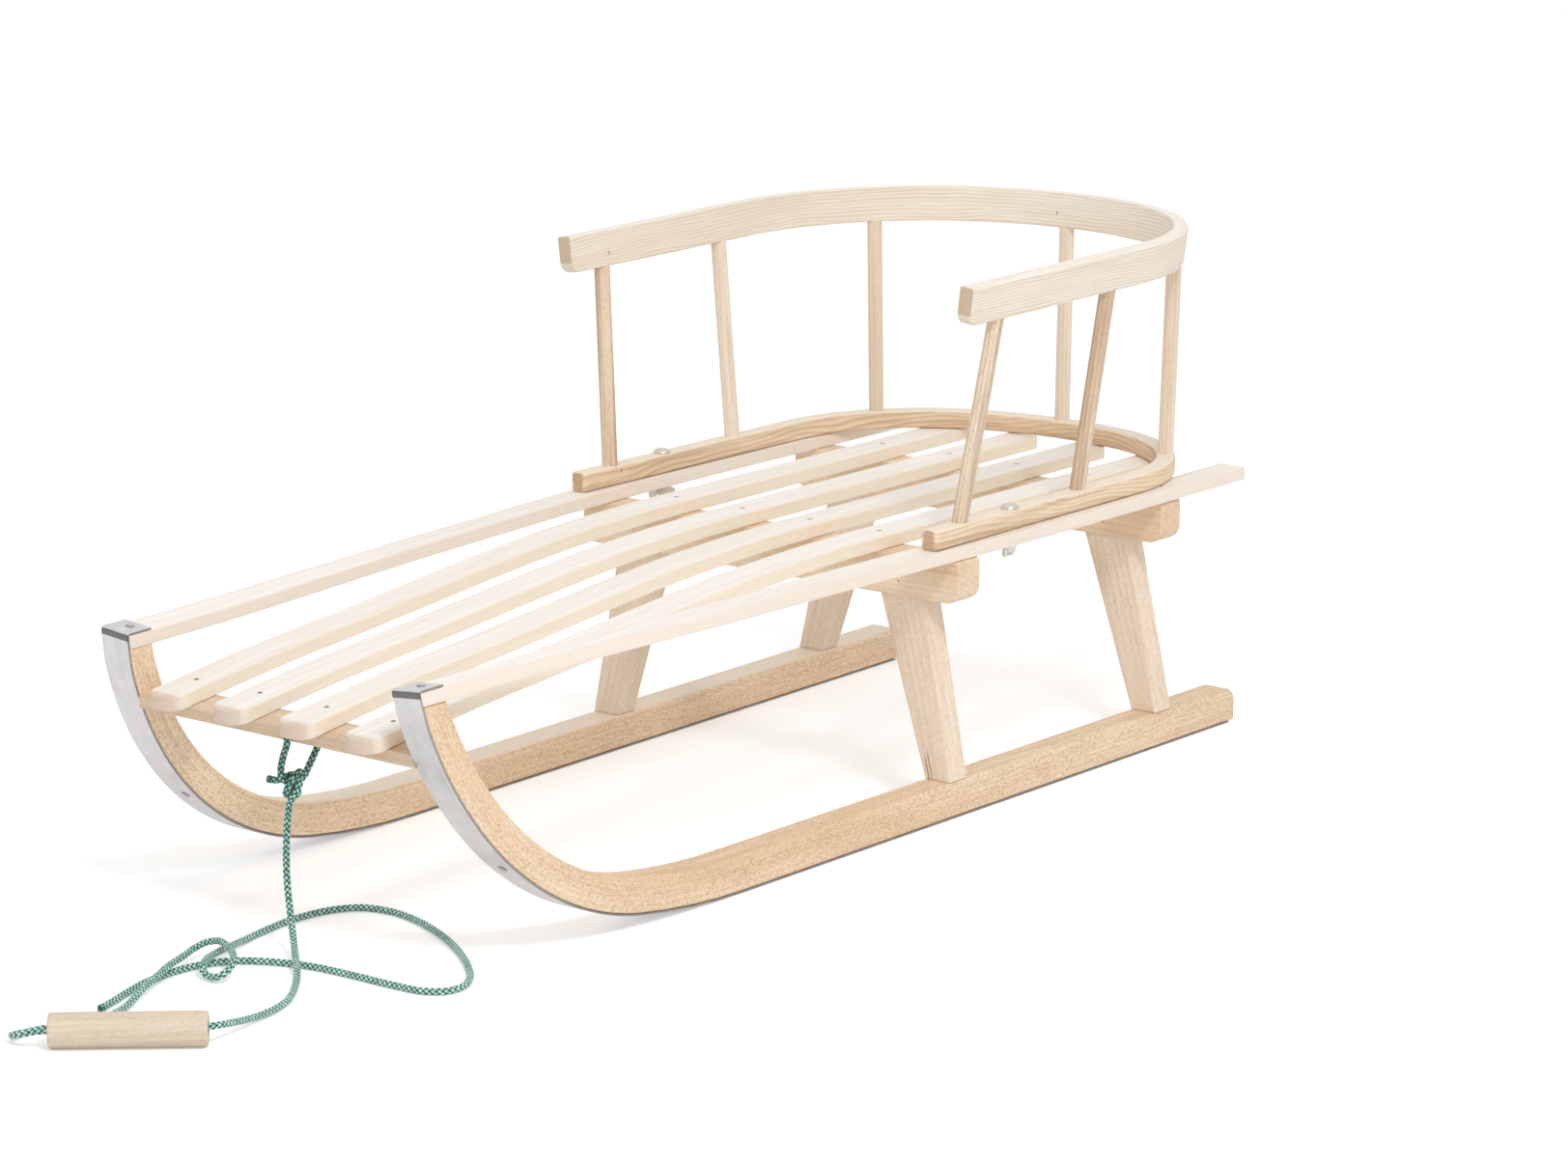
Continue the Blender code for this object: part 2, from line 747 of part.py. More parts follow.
def leg_section(z, x, half_width, half_depth, y, edge):
    corners = cut_corners(half_width, -half_depth, half_depth, (edge,) * 4)
    return [Vector((x + u, y + v, z)) for u, v in corners]


def leg_places(y):
    """Middle of the foot and of the head of a leg, across the sled."""
    return runner_middle(y), LEG_HEAD_OUTER - LEG_HEAD_WIDTH / 2


def leg_tenons(y, spare=0.0, reach=0.0):
    """Rings of the two tenons, or of their mortises when spare is a gap."""
    foot, head = leg_places(y)
    depth = LEG_TENON_THICKNESS / 2 + spare
    low = (foot, LEG_TENON_WIDTH / 2 + spare, depth, y, LEG_EDGE)
    high = (head, LEG_HEAD_TENON_WIDTH / 2 + spare, depth, y, LEG_EDGE)
    return (
        [
            leg_section(LEG_FOOT_Z - LEG_TENON_LENGTH - spare, *low),
            leg_section(LEG_FOOT_Z + reach, *low),
        ],
        [
            leg_section(LEG_HEAD_Z - reach, *high),
            leg_section(LEG_HEAD_Z + LEG_HEAD_TENON_LENGTH + spare, *high),
        ],
    )


def make_leg(name, y, side, mat):
    foot, head = leg_places(y)
    low, high = leg_tenons(y)
    depth = LEG_THICKNESS / 2
    rings = low + [
        leg_section(LEG_FOOT_Z, foot, LEG_FOOT_WIDTH / 2, depth, y, LEG_EDGE),
        leg_section(LEG_HEAD_Z, head, LEG_HEAD_WIDTH / 2, depth, y, LEG_EDGE),
    ] + high
    return solid(name, rings, mat, side)


def make_bolster(name, y, mat):
    corners = (BOLSTER_LOW_CORNER, BOLSTER_LOW_CORNER, BOLSTER_TOP_CORNER, BOLSTER_TOP_CORNER)
    rings = []
    half = BOLSTER_DEPTH / 2
    stops = ((-half, BOLSTER_EDGE), (BOLSTER_EDGE - half, 0.0))
    for v, inset in stops + tuple((-v, inset) for v, inset in reversed(stops)):
        outline = cut_corners(
            BOLSTER_HALF_LENGTH - inset,
            BOLSTER_UNDERSIDE + inset,
            BOLSTER_TOP - inset,
            [corner - inset for corner in corners],
            steps=4,
        )
        rings.append([Vector((u, y + v, z)) for u, z in outline])
    return solid(name, rings, mat)


# Slats


def bent_stops(stops):
    return [y * BEND_STRETCH for y in stops]


def slat_section(half_width, inset=0.0, stretch=1.0):
    edge = SLAT_EDGE * 0.5 if inset else SLAT_EDGE
    return cut_corners(
        half_width - inset,
        inset * stretch,
        (SLAT_THICKNESS - inset) * stretch,
        (edge,) * 4,
    )


def inner_underside(y):
    return SLAT_UNDERSIDE - smooth_curve(INNER_SLAT_DROP, y / BEND_STRETCH)


def inner_slat_middle(ends, y):
    return ends[0] + (ends[1] - ends[0]) * y / SLAT_REAR


def inner_slat_stops():
    """Distance along and share of the half width, round the corners and between."""
    half = INNER_SLAT_WIDTH / 2
    stops = []
    for k in range(4):
        swing = pi / 2 * k / 3
        y = INNER_SLAT_CORNER * (1 - cos(swing))
        stops.append((y, half - INNER_SLAT_CORNER * (1 - sin(swing))))
    for y in [CROSSBAR_FRONT, CROSSBAR_BACK] + bent_stops(BENT_STOPS):
        stops.append((y, half))
    stops.append((SLAT_REAR - SLAT_REAR_ROUNDING, half))
    stops.append((SLAT_REAR, half - SLAT_REAR_ROUNDING))
    return stops


CROSSBAR_FRONT = CROSSBAR_Y - CROSSBAR_DEPTH / 2 - CROSSBAR_FLAT_FRONT
CROSSBAR_BACK = CROSSBAR_Y + CROSSBAR_DEPTH / 2 + CROSSBAR_FLAT_BACK


CROSSBAR_SLOPE = (
    (inner_underside(CROSSBAR_BACK) - inner_underside(CROSSBAR_FRONT))
    / (CROSSBAR_BACK - CROSSBAR_FRONT)
)
CROSSBAR_STRETCH = sqrt(1 + CROSSBAR_SLOPE ** 2)
CROSSBAR_ALONG = Vector((0.0, 1.0, CROSSBAR_SLOPE)).normalized()
CROSSBAR_UP = ACROSS.cross(CROSSBAR_ALONG)


def flat_underside(y):
    """Height of the straight stretch of the inner slats over the crossbar."""
    return inner_underside(CROSSBAR_FRONT) + (y - CROSSBAR_FRONT) * CROSSBAR_SLOPE


def make_inner_slat(name, ends, side, mat):
    rings = []
    for y, half in inner_slat_stops():
        if y < CROSSBAR_FRONT:
            z = flat_underside(y)
        else:
            z = inner_underside(y)
        x = inner_slat_middle(ends, y)
        lift = CROSSBAR_STRETCH if y <= CROSSBAR_BACK else 1.0
        section = slat_section(half, stretch=lift)
        rings.append([Vector((x + u, y, z + v)) for u, v in section])
    return solid(name, rings, mat, side)


def make_outer_slat(name, side, mat):
    half = OUTER_SLAT_WIDTH / 2
    _, _, _, along = outer_slat_frame(TIP_MIDDLE.y)
    shoe_face = TIP_POINT + TIP_INWARD * WOOD_BOTTOM
    rings = []
    for inset in (SLAT_EDGE, 0.0):
        middle, across, up, _ = outer_slat_frame(TIP_MIDDLE.y)
        cut = shoe_face + TIP_INWARD * (SLAT_EDGE - inset)
        ring = []
        for u, v in slat_section(half, inset):
            point = middle + across * u + up * v
            ring.append(slid_onto(point, along, cut, TIP_INWARD))
        rings.append(ring)
    stops = [TIP_MIDDLE.y + RUNNER_TIP_HEIGHT] + bent_stops(BENT_STOPS + OUTER_BENT_STOPS)
    stops.append(SLAT_REAR - SLAT_REAR_ROUNDING)
    for y in stops:
        middle, across, up, _ = outer_slat_frame(y)
        rings.append([middle + across * u + up * v for u, v in slat_section(half)])
    middle, across, up, _ = outer_slat_frame(SLAT_REAR)
    section = slat_section(half - SLAT_REAR_ROUNDING)
    rings.append([middle + across * u + up * v for u, v in section])
    return solid(name, rings, mat, side)


# Front crossbar


def crossbar_middle():
    top = Vector((0.0, CROSSBAR_Y, flat_underside(CROSSBAR_Y)))
    return top - CROSSBAR_UP * (FIT_GAP + CROSSBAR_HEIGHT / 2)


def crossbar_seat():
    """Frame of the runner at the crossbar and the middle of the wood there."""
    n = WOOD_BOTTOM + (RUNNER_HEIGHT + RUNNER_TIP_HEIGHT) / 4
    length = length_at_height(crossbar_middle().z, n)
    _, _, outward, _ = runner_frame(length)
    return runner_spot(length, -RUNNER_WIDTH / 2, n), outward


def crossbar_ring(middle, depth, height, offset, edge):
    """Ring of the crossbar, where it meets a plane along the runner's inner face."""
    face, outward = crossbar_seat()
    ring = []
    for u, v in cut_corners(depth / 2, -height / 2, height / 2, (edge,) * 4):
        point = middle + CROSSBAR_ALONG * u + CROSSBAR_UP * v
        ring.append(slid_onto(point, ACROSS, face + outward * offset, outward))
    return ring


def crossbar_tenon(start, end, spare=0.0):
    face, _ = crossbar_seat()
    middle = crossbar_middle()
    middle.y = face.y
    middle.z += (face.y - CROSSBAR_Y) * CROSSBAR_SLOPE
    depth = CROSSBAR_TENON_DEPTH + 2 * spare
    height = CROSSBAR_TENON_HEIGHT + 2 * spare
    edge = CROSSBAR_TENON_EDGE
    return [crossbar_ring(middle, depth, height, x, edge) for x in (start, end)]


def make_crossbar(mat):
    tenon = crossbar_tenon(-FIT_GAP, CROSSBAR_TENON_LENGTH)
    shoulder = crossbar_ring(
        crossbar_middle(), CROSSBAR_DEPTH, CROSSBAR_HEIGHT, -FIT_GAP, CROSSBAR_EDGE
    )
    half = [tenon[1], tenon[0], shoulder]
    other = [[Vector((-p.x, p.y, p.z)) for p in ring] for ring in reversed(half)]
    return solid("front_crossbar", half + other, mat)


# Hoops of the backrest


class Hoop:
    """A bent strip: straight arms, two round corners and a flatter back."""

    def __init__(self, half_width, back, front, corner_inset, crown_rise):
        self.half_width = half_width
        self.back = back
        self.front = front
        self.corner = half_width - corner_inset
        self.crown = self.corner + crown_rise
        self.swing = asin(corner_inset / crown_rise)
        self.corner_y = back - self.crown + crown_rise * cos(self.swing)

    def on_corner(self, angle):
        """Outer point and outward direction, by the angle from straight back."""
        outward = Vector((sin(angle), cos(angle), 0.0))
        if abs(angle) < self.swing:
            return Vector((0.0, self.back - self.crown, 0.0)) + outward * self.crown, outward
        side = 1 if angle > 0 else -1
        centre = Vector((side * (self.half_width - self.corner), self.corner_y, 0.0))
        return centre + outward * self.corner, outward

    def on_arm(self, y):
        return Vector((self.half_width, y, 0.0)), ACROSS.copy()

    def stops(self, end_steps, end_length):
        """Outer points round the hoop, with the distance from the nearer end."""
        right = []
        for k in range(end_steps + 1):
            distance = end_length * (1 - cos(pi / 2 * k / end_steps))
            right.append((*self.on_arm(self.front + distance), distance))
        steps = round((pi / 2 - self.swing) / HOOP_STEP)
        for k in range(steps + 1):
            angle = pi / 2 + (self.swing - pi / 2) * k / steps
            right.append((*self.on_corner(angle), end_length))
        steps = 2 * max(1, round(self.swing / HOOP_STEP))
        middle = []
        for k in range(1, steps):
            angle = self.swing - 2 * self.swing * k / steps
            middle.append((*self.on_corner(angle), end_length))
        left = []
        for point, outward, distance in reversed(right):
            mirror = Vector((-1.0, 1.0, 1.0))
            left.append((point * mirror, outward * mirror, distance))
        return right + middle + left


LOWER_HOOP = Hoop(
    LOWER_HOOP_HALF_WIDTH,
    LOWER_HOOP_BACK,
    LOWER_HOOP_FRONT,
    LOWER_HOOP_CORNER_INSET,
    LOWER_HOOP_CROWN_RISE,
)
UPPER_HOOP = Hoop(
    UPPER_HOOP_HALF_WIDTH,
    UPPER_HOOP_BACK,
    UPPER_HOOP_FRONT,
    UPPER_HOOP_CORNER_INSET,
    UPPER_HOOP_CROWN_RISE,
)


def make_lower_hoop(mat):
    rings = []
    rounding = LOWER_HOOP_END_ROUNDING
    for point, outward, distance in LOWER_HOOP.stops(2, rounding):
        cut = rounding - sqrt(rounding ** 2 - (rounding - distance) ** 2)
        section = cut_corners(
            LOWER_HOOP_THICKNESS / 2 - cut,
            0.0,
            LOWER_HOOP_HEIGHT,
            (HOOP_EDGE,) * 4,
        )
        base = point - outward * (LOWER_HOOP_THICKNESS / 2) + UP * LOWER_HOOP_UNDERSIDE
        rings.append([base + outward * u + UP * v for u, v in section])
    return solid("lower_hoop", rings, mat)


def upper_hoop_frame(point, outward):
    """Low outer corner of the strip, and the directions out of its face and up it."""
    share = (point.y - UPPER_HOOP_FRONT) / (UPPER_HOOP_BACK - UPPER_HOOP_FRONT)
    base = point + UP * (UPPER_HOOP_UNDERSIDE + UPPER_HOOP_RISE * share)
    face = outward * cos(UPPER_HOOP_LEAN) - UP * sin(UPPER_HOOP_LEAN)
    tall = outward * sin(UPPER_HOOP_LEAN) + UP * cos(UPPER_HOOP_LEAN)
    return base, face, tall


def make_upper_hoop(mat):
    rings = []
    rounding = UPPER_HOOP_END_ROUNDING
    for point, outward, distance in UPPER_HOOP.stops(4, rounding):
        base, face, tall = upper_hoop_frame(point, outward)
        cut = rounding - sqrt(rounding ** 2 - (rounding - distance) ** 2)
        section = cut_corners(
            UPPER_HOOP_THICKNESS / 2,
            cut,
            UPPER_HOOP_HEIGHT,
            (HOOP_EDGE,) * 4,
        )
        middle = base - face * (UPPER_HOOP_THICKNESS / 2)
        rings.append([middle + face * u + tall * v for u, v in section])
    return solid("upper_hoop", rings, mat)


# Spindles


def spindle_ends():
    """Outer points of both hoops at each spindle, and the side it is on."""
    low_corner, high_corner = CORNER_SPINDLE_ANGLE
    places = {
        "spindle_back": (LOWER_HOOP.on_corner(0.0), UPPER_HOOP.on_corner(0.0), (1,)),
    }
    both = (1, -1)
    for name, runs in (("front", FRONT_SPINDLE_RUN), ("middle", MIDDLE_SPINDLE_RUN)):
        low, high = (LOWER_HOOP_FRONT + run for run in runs)
        places["spindle_" + name] = (LOWER_HOOP.on_arm(low), UPPER_HOOP.on_arm(high), both)
    low = LOWER_HOOP.on_corner(low_corner)
    high = UPPER_HOOP.on_corner(high_corner)
    places["spindle_corner"] = (low, high, both)
    return places


class Spindle:
    """Line of a spindle from hoop to hoop, with its shoulders and tenons."""

    def __init__(self, low, high):
        point, outward = low
        self.foot = point - outward * (LOWER_HOOP_THICKNESS / 2) + UP * SPINDLE_FOOT_Z
        base, face, tall = upper_hoop_frame(*high)
        self.tall = tall
        self.head = base - face * (UPPER_HOOP_THICKNESS / 2) - tall * FIT_GAP
        self.axis = (self.head - self.foot).normalized()
        self.length = (self.head - self.foot).length

    def level(self, radius, point, normal):
        """Ring of the spindle, cut along the face of a hoop."""
        ring = turned(((radius, 0.0),), self.foot, self.axis)[0]
        return [slid_onto(spot, self.axis, point, normal) for spot in ring]

    def rings(self):
        tenon = SPINDLE_TENON_RADIUS
        low_end = turned(((tenon, -SPINDLE_LOW_TENON),), self.foot, self.axis)
        high_end = turned(((tenon, self.length + SPINDLE_HIGH_TENON),), self.foot, self.axis)
        return low_end + [
            self.level(tenon, self.foot, UP),
            self.level(SPINDLE_RADIUS, self.foot, UP),
            self.level(SPINDLE_RADIUS, self.head, self.tall),
            self.level(tenon, self.head, self.tall),
        ] + high_end

    def bores(self):
        radius = SPINDLE_TENON_RADIUS + BORE_GAP
        clear = SPINDLE_RADIUS
        low = ((radius, -SPINDLE_LOW_TENON - BORE_GAP), (radius, clear))
        top = self.length + SPINDLE_HIGH_TENON + BORE_GAP
        high = ((radius, self.length - clear), (radius, top))
        return turned(low, self.foot, self.axis), turned(high, self.foot, self.axis)


# Screws, nails, bolts and nuts


def screw_rings(start, into, length, radius, head_radius, head_height):
    profile = (
        (head_radius * 0.7, 0.0),
        (head_radius, head_height * 0.5),
        (head_radius, head_height),
        (radius, head_height),
        (radius, length - 2 * radius),
        (radius * 0.2, length),
    )
    return turned(profile, start, into, SCREW_SEGMENTS)


def screw_bore(start, into, length, radius, head_radius=None, head_height=0.0):
    """Hole for a screw, with a recess where its head is let in."""
    narrow = radius + BORE_GAP
    end = length + BORE_GAP
    clear = -2 * SCREW_HEAD_RADIUS
    if head_radius is None:
        return turned(((narrow, clear), (narrow, end)), start, into, SCREW_SEGMENTS)
    wide = head_radius + BORE_GAP
    floor = head_height + BORE_GAP
    profile = ((wide, clear), (wide, floor), (narrow, floor), (narrow, end))
    return turned(profile, start, into, SCREW_SEGMENTS)


SLAT_SCREW = (SLAT_SCREW_LENGTH, SCREW_RADIUS, SCREW_HEAD_RADIUS, SCREW_HEAD_HEIGHT)
NAIL = (NAIL_LENGTH, NAIL_RADIUS, NAIL_HEAD_RADIUS, SCREW_HEAD_HEIGHT)
TIP_SCREW = (TIP_SCREW_LENGTH, SCREW_RADIUS, SHOE_SCREW_HEAD_RADIUS, SHOE_SCREW_HEAD_HEIGHT)
CURL_SCREW = (CURL_SCREW_LENGTH, SCREW_RADIUS, SHOE_SCREW_HEAD_RADIUS, SHOE_SCREW_HEAD_HEIGHT)


def nail_place(ends):
    """Head of a nail on an inner slat over the crossbar, and its direction."""
    z = flat_underside(NAIL_Y) + SLAT_THICKNESS * CROSSBAR_STRETCH
    top = Vector((inner_slat_middle(ends, NAIL_Y), NAIL_Y, z))
    return top, CROSSBAR_UP * -1


def tip_screw_place():
    """Seat of the tip screw's head, on the flap of the shoe, and its direction."""
    _, normal = tip_plane(0.0)
    shoe_face = TIP_POINT + TIP_INWARD * WOOD_BOTTOM
    top_point, _ = tip_plane(SLAT_THICKNESS + FIT_GAP + SHOE_THICKNESS)
    start = slid_onto(shoe_face, TIP_FORWARD, top_point, normal)
    spot = start + flap_direction() * TIP_SCREW_FROM_BEND
    lift = FIT_GAP + SHOE_SCREW_HEAD_HEIGHT
    return slid_onto(spot, normal, top_point, normal) + normal * lift, normal * -1


def curl_screw_place():
    """Seat of the screw on the front of the curl, and its direction."""
    length = length_at_height(CURL_SCREW_HEIGHT, 0.0)
    _, _, _, inward = runner_frame(length)
    lift = FIT_GAP + SHOE_SCREW_HEAD_HEIGHT
    return runner_spot(length, 0.0, 0.0) - inward * lift, inward


BOLT_X = LOWER_HOOP_HALF_WIDTH - LOWER_HOOP_THICKNESS / 2
WASHER_TOP = SLAT_UNDERSIDE - FIT_GAP
NUT_TOP = WASHER_TOP - WASHER_THICKNESS - FIT_GAP
BOLT_SEAT = Vector((BOLT_X, BOLT_Y, LOWER_HOOP_TOP + FIT_GAP))


def bolt_rings():
    head = BOLT_HEAD_HEIGHT
    length = BOLT_SEAT.z - NUT_TOP + NUT_HEIGHT + BOLT_PAST_NUT
    profile = []
    for degrees in (75, 50, 25, 0):
        angle = radians(degrees)
        profile.append((BOLT_HEAD_RADIUS * cos(angle), head * sin(angle)))
    profile += [(BOLT_RADIUS, 0.0), (BOLT_RADIUS, -length)]
    return turned(profile, BOLT_SEAT, UP)


def bolt_bore():
    radius = BOLT_RADIUS + BORE_GAP
    low = SLAT_UNDERSIDE - BOLT_SEAT.z - BOLT_HEAD_RADIUS
    return turned(((radius, low), (radius, BOLT_HEAD_RADIUS)), BOLT_SEAT, UP)


def make_washer(name, side, mat):
    hole = BOLT_RADIUS + BORE_GAP
    profile = (
        (hole, 0.0),
        (WASHER_RADIUS, 0.0),
        (WASHER_RADIUS, -WASHER_THICKNESS),
        (hole, -WASHER_THICKNESS),
    )
    rings = turned(profile, Vector((BOLT_X, BOLT_Y, WASHER_TOP)), UP)
    return round_solid(name, rings, mat, side, joined=True)


def wing_rings(turn):
    """One wing of a wing nut: a round lobe on a neck out of the hub."""
    out = Vector((cos(turn), sin(turn), 0.0))
    flat = Vector((-sin(turn), cos(turn), 0.0))
    root = (BOLT_RADIUS + BORE_GAP + NUT_LOW_RADIUS) / 2
    centre = WING_REACH - WING_LOBE
    outline = [(root, -NUT_HEIGHT * 0.15)]
    for k in range(9):
        angle = radians(115 - 235 * k / 8)
        u = centre + WING_LOBE * cos(angle)
        outline.append((u, -WING_DROP + WING_LOBE * sin(angle)))
    outline.append((root, -NUT_HEIGHT * 0.9))
    base = Vector((BOLT_X, BOLT_Y, NUT_TOP))
    rings = []
    for offset in (-WING_THICKNESS / 2, WING_THICKNESS / 2):
        rings.append([base + out * u + UP * v + flat * offset for u, v in outline])
    return rings


def make_wing_nut(name, side, turn, mat):
    hole = BOLT_RADIUS + BORE_GAP
    profile = (
        (hole, 0.0),
        (NUT_HIGH_RADIUS, 0.0),
        (NUT_HIGH_RADIUS, -NUT_HEIGHT * 0.2),
        (NUT_LOW_RADIUS, -NUT_HEIGHT),
        (hole, -NUT_HEIGHT),
    )
    seat = Vector((BOLT_X, BOLT_Y, NUT_TOP))
    nut = round_solid(name, turned(profile, seat, UP), mat, side, pivot=seat, joined=True)
    tool = combine(nut, "UNION", [wing_rings(turn), wing_rings(turn + pi)], side, pivot=seat)
    tool.parent = nut
    tool.matrix_parent_inverse = nut.matrix_basis.inverted()
    return nut


# Pull rope, knot and handle


def make_tube(name, points, mat):
    line = bpy.data.curves.new(name, "CURVE")
    line.dimensions = "3D"
    line.bevel_depth = ROPE_RADIUS
    line.bevel_resolution = 2
    line.use_fill_caps = True
    spline = line.splines.new("POLY")
    spline.points.add(len(points) - 1)
    for spot, point in zip(spline.points, points):
        spot.co = (*placed(point), 1.0)
    line.materials.append(mat)
    thing = bpy.data.objects.new(name, line)
    bpy.context.scene.collection.objects.link(thing)
    return thing


def rope_points(route, count, turn_weight):
    """Points along a smooth route, with its first and last stretch kept straight."""
    line = spaced_points(smooth_route(route[1:-1]), count - 2, turn_weight)
    return [route[0]] + line + [route[-1]]


def make_pull_rope(mat):
    start = Vector(KNOT_CENTRE) - UP * (KNOT_HALF_HEIGHT + FIT_GAP)
    route = [start, start - UP * ROPE_RADIUS] + [Vector(point) for point in ROPE_ROUTE]
    return make_tube("pull_rope", rope_points(route, ROPE_POINTS, ROPE_TURN_WEIGHT), mat)


def make_rope_tie(mat):
    """The rope's loop round the crossbar, with both ends at the top of the knot."""
    middle = crossbar_middle()
    reach = CROSSBAR_DEPTH / 2 + ROPE_RADIUS + FIT_GAP
    rise = CROSSBAR_HEIGHT / 2 + ROPE_RADIUS + FIT_GAP
    bend = 2 * ROPE_RADIUS
    knot = Vector(KNOT_CENTRE) + UP * (KNOT_HALF_HEIGHT + FIT_GAP)
    spread = KNOT_RADIUS * 0.9 - ROPE_RADIUS
    over = []
    for sign in (-1, 1):
        side = []
        for k in range(5):
            angle = pi / 2 * k / 4
            u = sign * (reach - bend + bend * cos(angle))
            v = rise - bend + bend * sin(angle)
            side.append(middle + CROSSBAR_ALONG * u + CROSSBAR_UP * v)
        low = middle + CROSSBAR_ALONG * (sign * reach) - CROSSBAR_UP * (rise - ROPE_RADIUS)
        foot = knot + Vector((0.0, sign * spread, 0.0))
        neck = foot + UP * (2 * ROPE_RADIUS)
        over.append([foot, foot + UP * ROPE_RADIUS, neck + (low - neck) * 0.15, low] + side)
    route = over[0] + over[1][::-1]
    for point in route:
        point.x = TIE_X
    return make_tube("rope_tie", rope_points(route, TIE_POINTS, TIE_TURN_WEIGHT), mat)


def make_knot(mat):
    radius = KNOT_RADIUS
    height = KNOT_HALF_HEIGHT
    profile = (
        (radius * 0.50, -height),
        (radius * 0.88, -height * 0.60),
        (radius, -height * 0.30),
        (radius, height * 0.60),
        (radius * 0.95, height),
    )
    rings = turned(profile, Vector(KNOT_CENTRE), UP, KNOT_SEGMENTS)
    return round_solid("rope_knot", rings, mat)


def make_rope_tail(mat):
    flat = cos(pi / KNOT_SEGMENTS)
    start = Vector(KNOT_CENTRE) + Vector((-KNOT_RADIUS * flat - FIT_GAP, 0.0, ROPE_RADIUS / 2))
    return make_tube("rope_tail", [start, start - ACROSS * TAIL_LENGTH], mat)


def make_handle(mat):
    """Turned handle, threaded on the rope and lying on the floor."""
    heading = Vector((cos(HANDLE_HEADING), sin(HANDLE_HEADING), 0.0))
    end = Vector((*HANDLE_RIGHT_END, HANDLE_RADIUS))
    profile = [(HANDLE_BORE_RADIUS, 0.0)]
    for k in range(4):
        angle = pi / 2 * k / 3
        radius = HANDLE_RADIUS - HANDLE_ROUNDING * (1 - sin(angle))
        profile.append((radius, HANDLE_ROUNDING * (1 - cos(angle))))
    profile += [(radius, HANDLE_LENGTH - distance) for radius, distance in reversed(profile)]
    middle = end + heading * (HANDLE_LENGTH / 2)
    rings = turned(profile, end, heading, HANDLE_SEGMENTS)
    return round_solid("pull_handle", rings, mat, pivot=middle, joined=True)


# Whole sled


def side_name(name, side):
    return name + ("_left" if side > 0 else "_right")


def mirrored(rings):
    return [[Vector((-p.x, p.y, p.z)) for p in ring] for ring in rings]


def build_running_gear(woods, steel):
    """Runners, shoes, legs and bolsters, with their screws and mortises."""
    tip_head, tip_into = tip_screw_place()
    curl_head, curl_into = curl_screw_place()
    spare = MORTISE_REACH
    bar_mortise = crossbar_tenon(-spare, CROSSBAR_TENON_LENGTH + FIT_GAP, FIT_GAP)
    bolsters = {}
    for name, y in (("front", FRONT_BOLSTER_Y), ("rear", REAR_BOLSTER_Y)):
        bolsters[name] = [y, make_bolster("bolster_" + name, y, woods["leg"]), []]
    for side in (1, -1):
        runner = make_runner(side, woods["runner"])
        shoe = make_shoe(side, steel)
        holes = [bar_mortise]
        holes.append(screw_bore(tip_head, tip_into, *TIP_SCREW[:2]))
        holes.append(screw_bore(curl_head, curl_into, *CURL_SCREW[:2]))
        for name, (y, _, cuts) in bolsters.items():
            leg_name = side_name("leg_" + name, side)
            make_leg(leg_name, y, side, woods["leg"])
            foot, head = leg_tenons(y, FIT_GAP, spare)
            holes.append(foot)
            cuts.append(head if side > 0 else mirrored(head))
        combine(runner, "DIFFERENCE", holes, side)
        combine(shoe, "DIFFERENCE", holes[1:3], side)
        for name, head, into, sizes in (
            ("tip_screw", tip_head, tip_into, TIP_SCREW),
            ("curl_screw", curl_head, curl_into, CURL_SCREW),
        ):
            rings = screw_rings(head, into, *sizes)
            round_solid(side_name(name, side), rings, steel, side)
    return bolsters


def screw_slat(slat, name, x_at, side, bolsters, steel):
    """Screws a slat down on both bolsters, and returns the holes in the slat."""
    holes = []
    for place, (y, _, cuts) in bolsters.items():
        head = Vector((x_at(y), y, SLAT_TOP))
        down = UP * -1
        rings = screw_rings(head, down, *SLAT_SCREW)
        round_solid(side_name(f"{name}_screw_{place}", side), rings, steel, side)
        hole = screw_bore(head, down, *SLAT_SCREW)
        holes.append(hole)
        cuts.append(hole if side > 0 else mirrored(hole))
    return holes


def build_seat(woods, steel, bolsters):
    """Slats, front crossbar and what fixes them."""
    crossbar = make_crossbar(woods["slat"])
    bar_holes = []
    tip_head, tip_into = tip_screw_place()
    for side in (1, -1):
        for place, ends in zip(("middle", "inner"), INNER_SLAT_X):
            name = "slat_" + place
            slat = make_inner_slat(side_name(name, side), ends, side, woods["slat"])
            head, into = nail_place(ends)
            rings = screw_rings(head, into, *NAIL)
            round_solid(side_name(name + "_nail", side), rings, steel, side)
            hole = screw_bore(head, into, *NAIL)
            bar_holes.append(hole if side > 0 else mirrored(hole))
            holes = screw_slat(
                slat, name, lambda y, ends=ends: inner_slat_middle(ends, y), side, bolsters, steel
            )
            combine(slat, "DIFFERENCE", holes + [hole], side)
        slat = make_outer_slat(side_name("slat_outer", side), side, woods["slat"])
        holes = screw_slat(slat, "slat_outer", outer_slat_middle, side, bolsters, steel)
        holes.append(screw_bore(tip_head, tip_into, *TIP_SCREW[:2]))
        holes.append(bolt_bore())
        combine(slat, "DIFFERENCE", holes, side)
    combine(crossbar, "DIFFERENCE", bar_holes)
    for y, bolster, cuts in bolsters.values():
        combine(bolster, "DIFFERENCE", cuts)


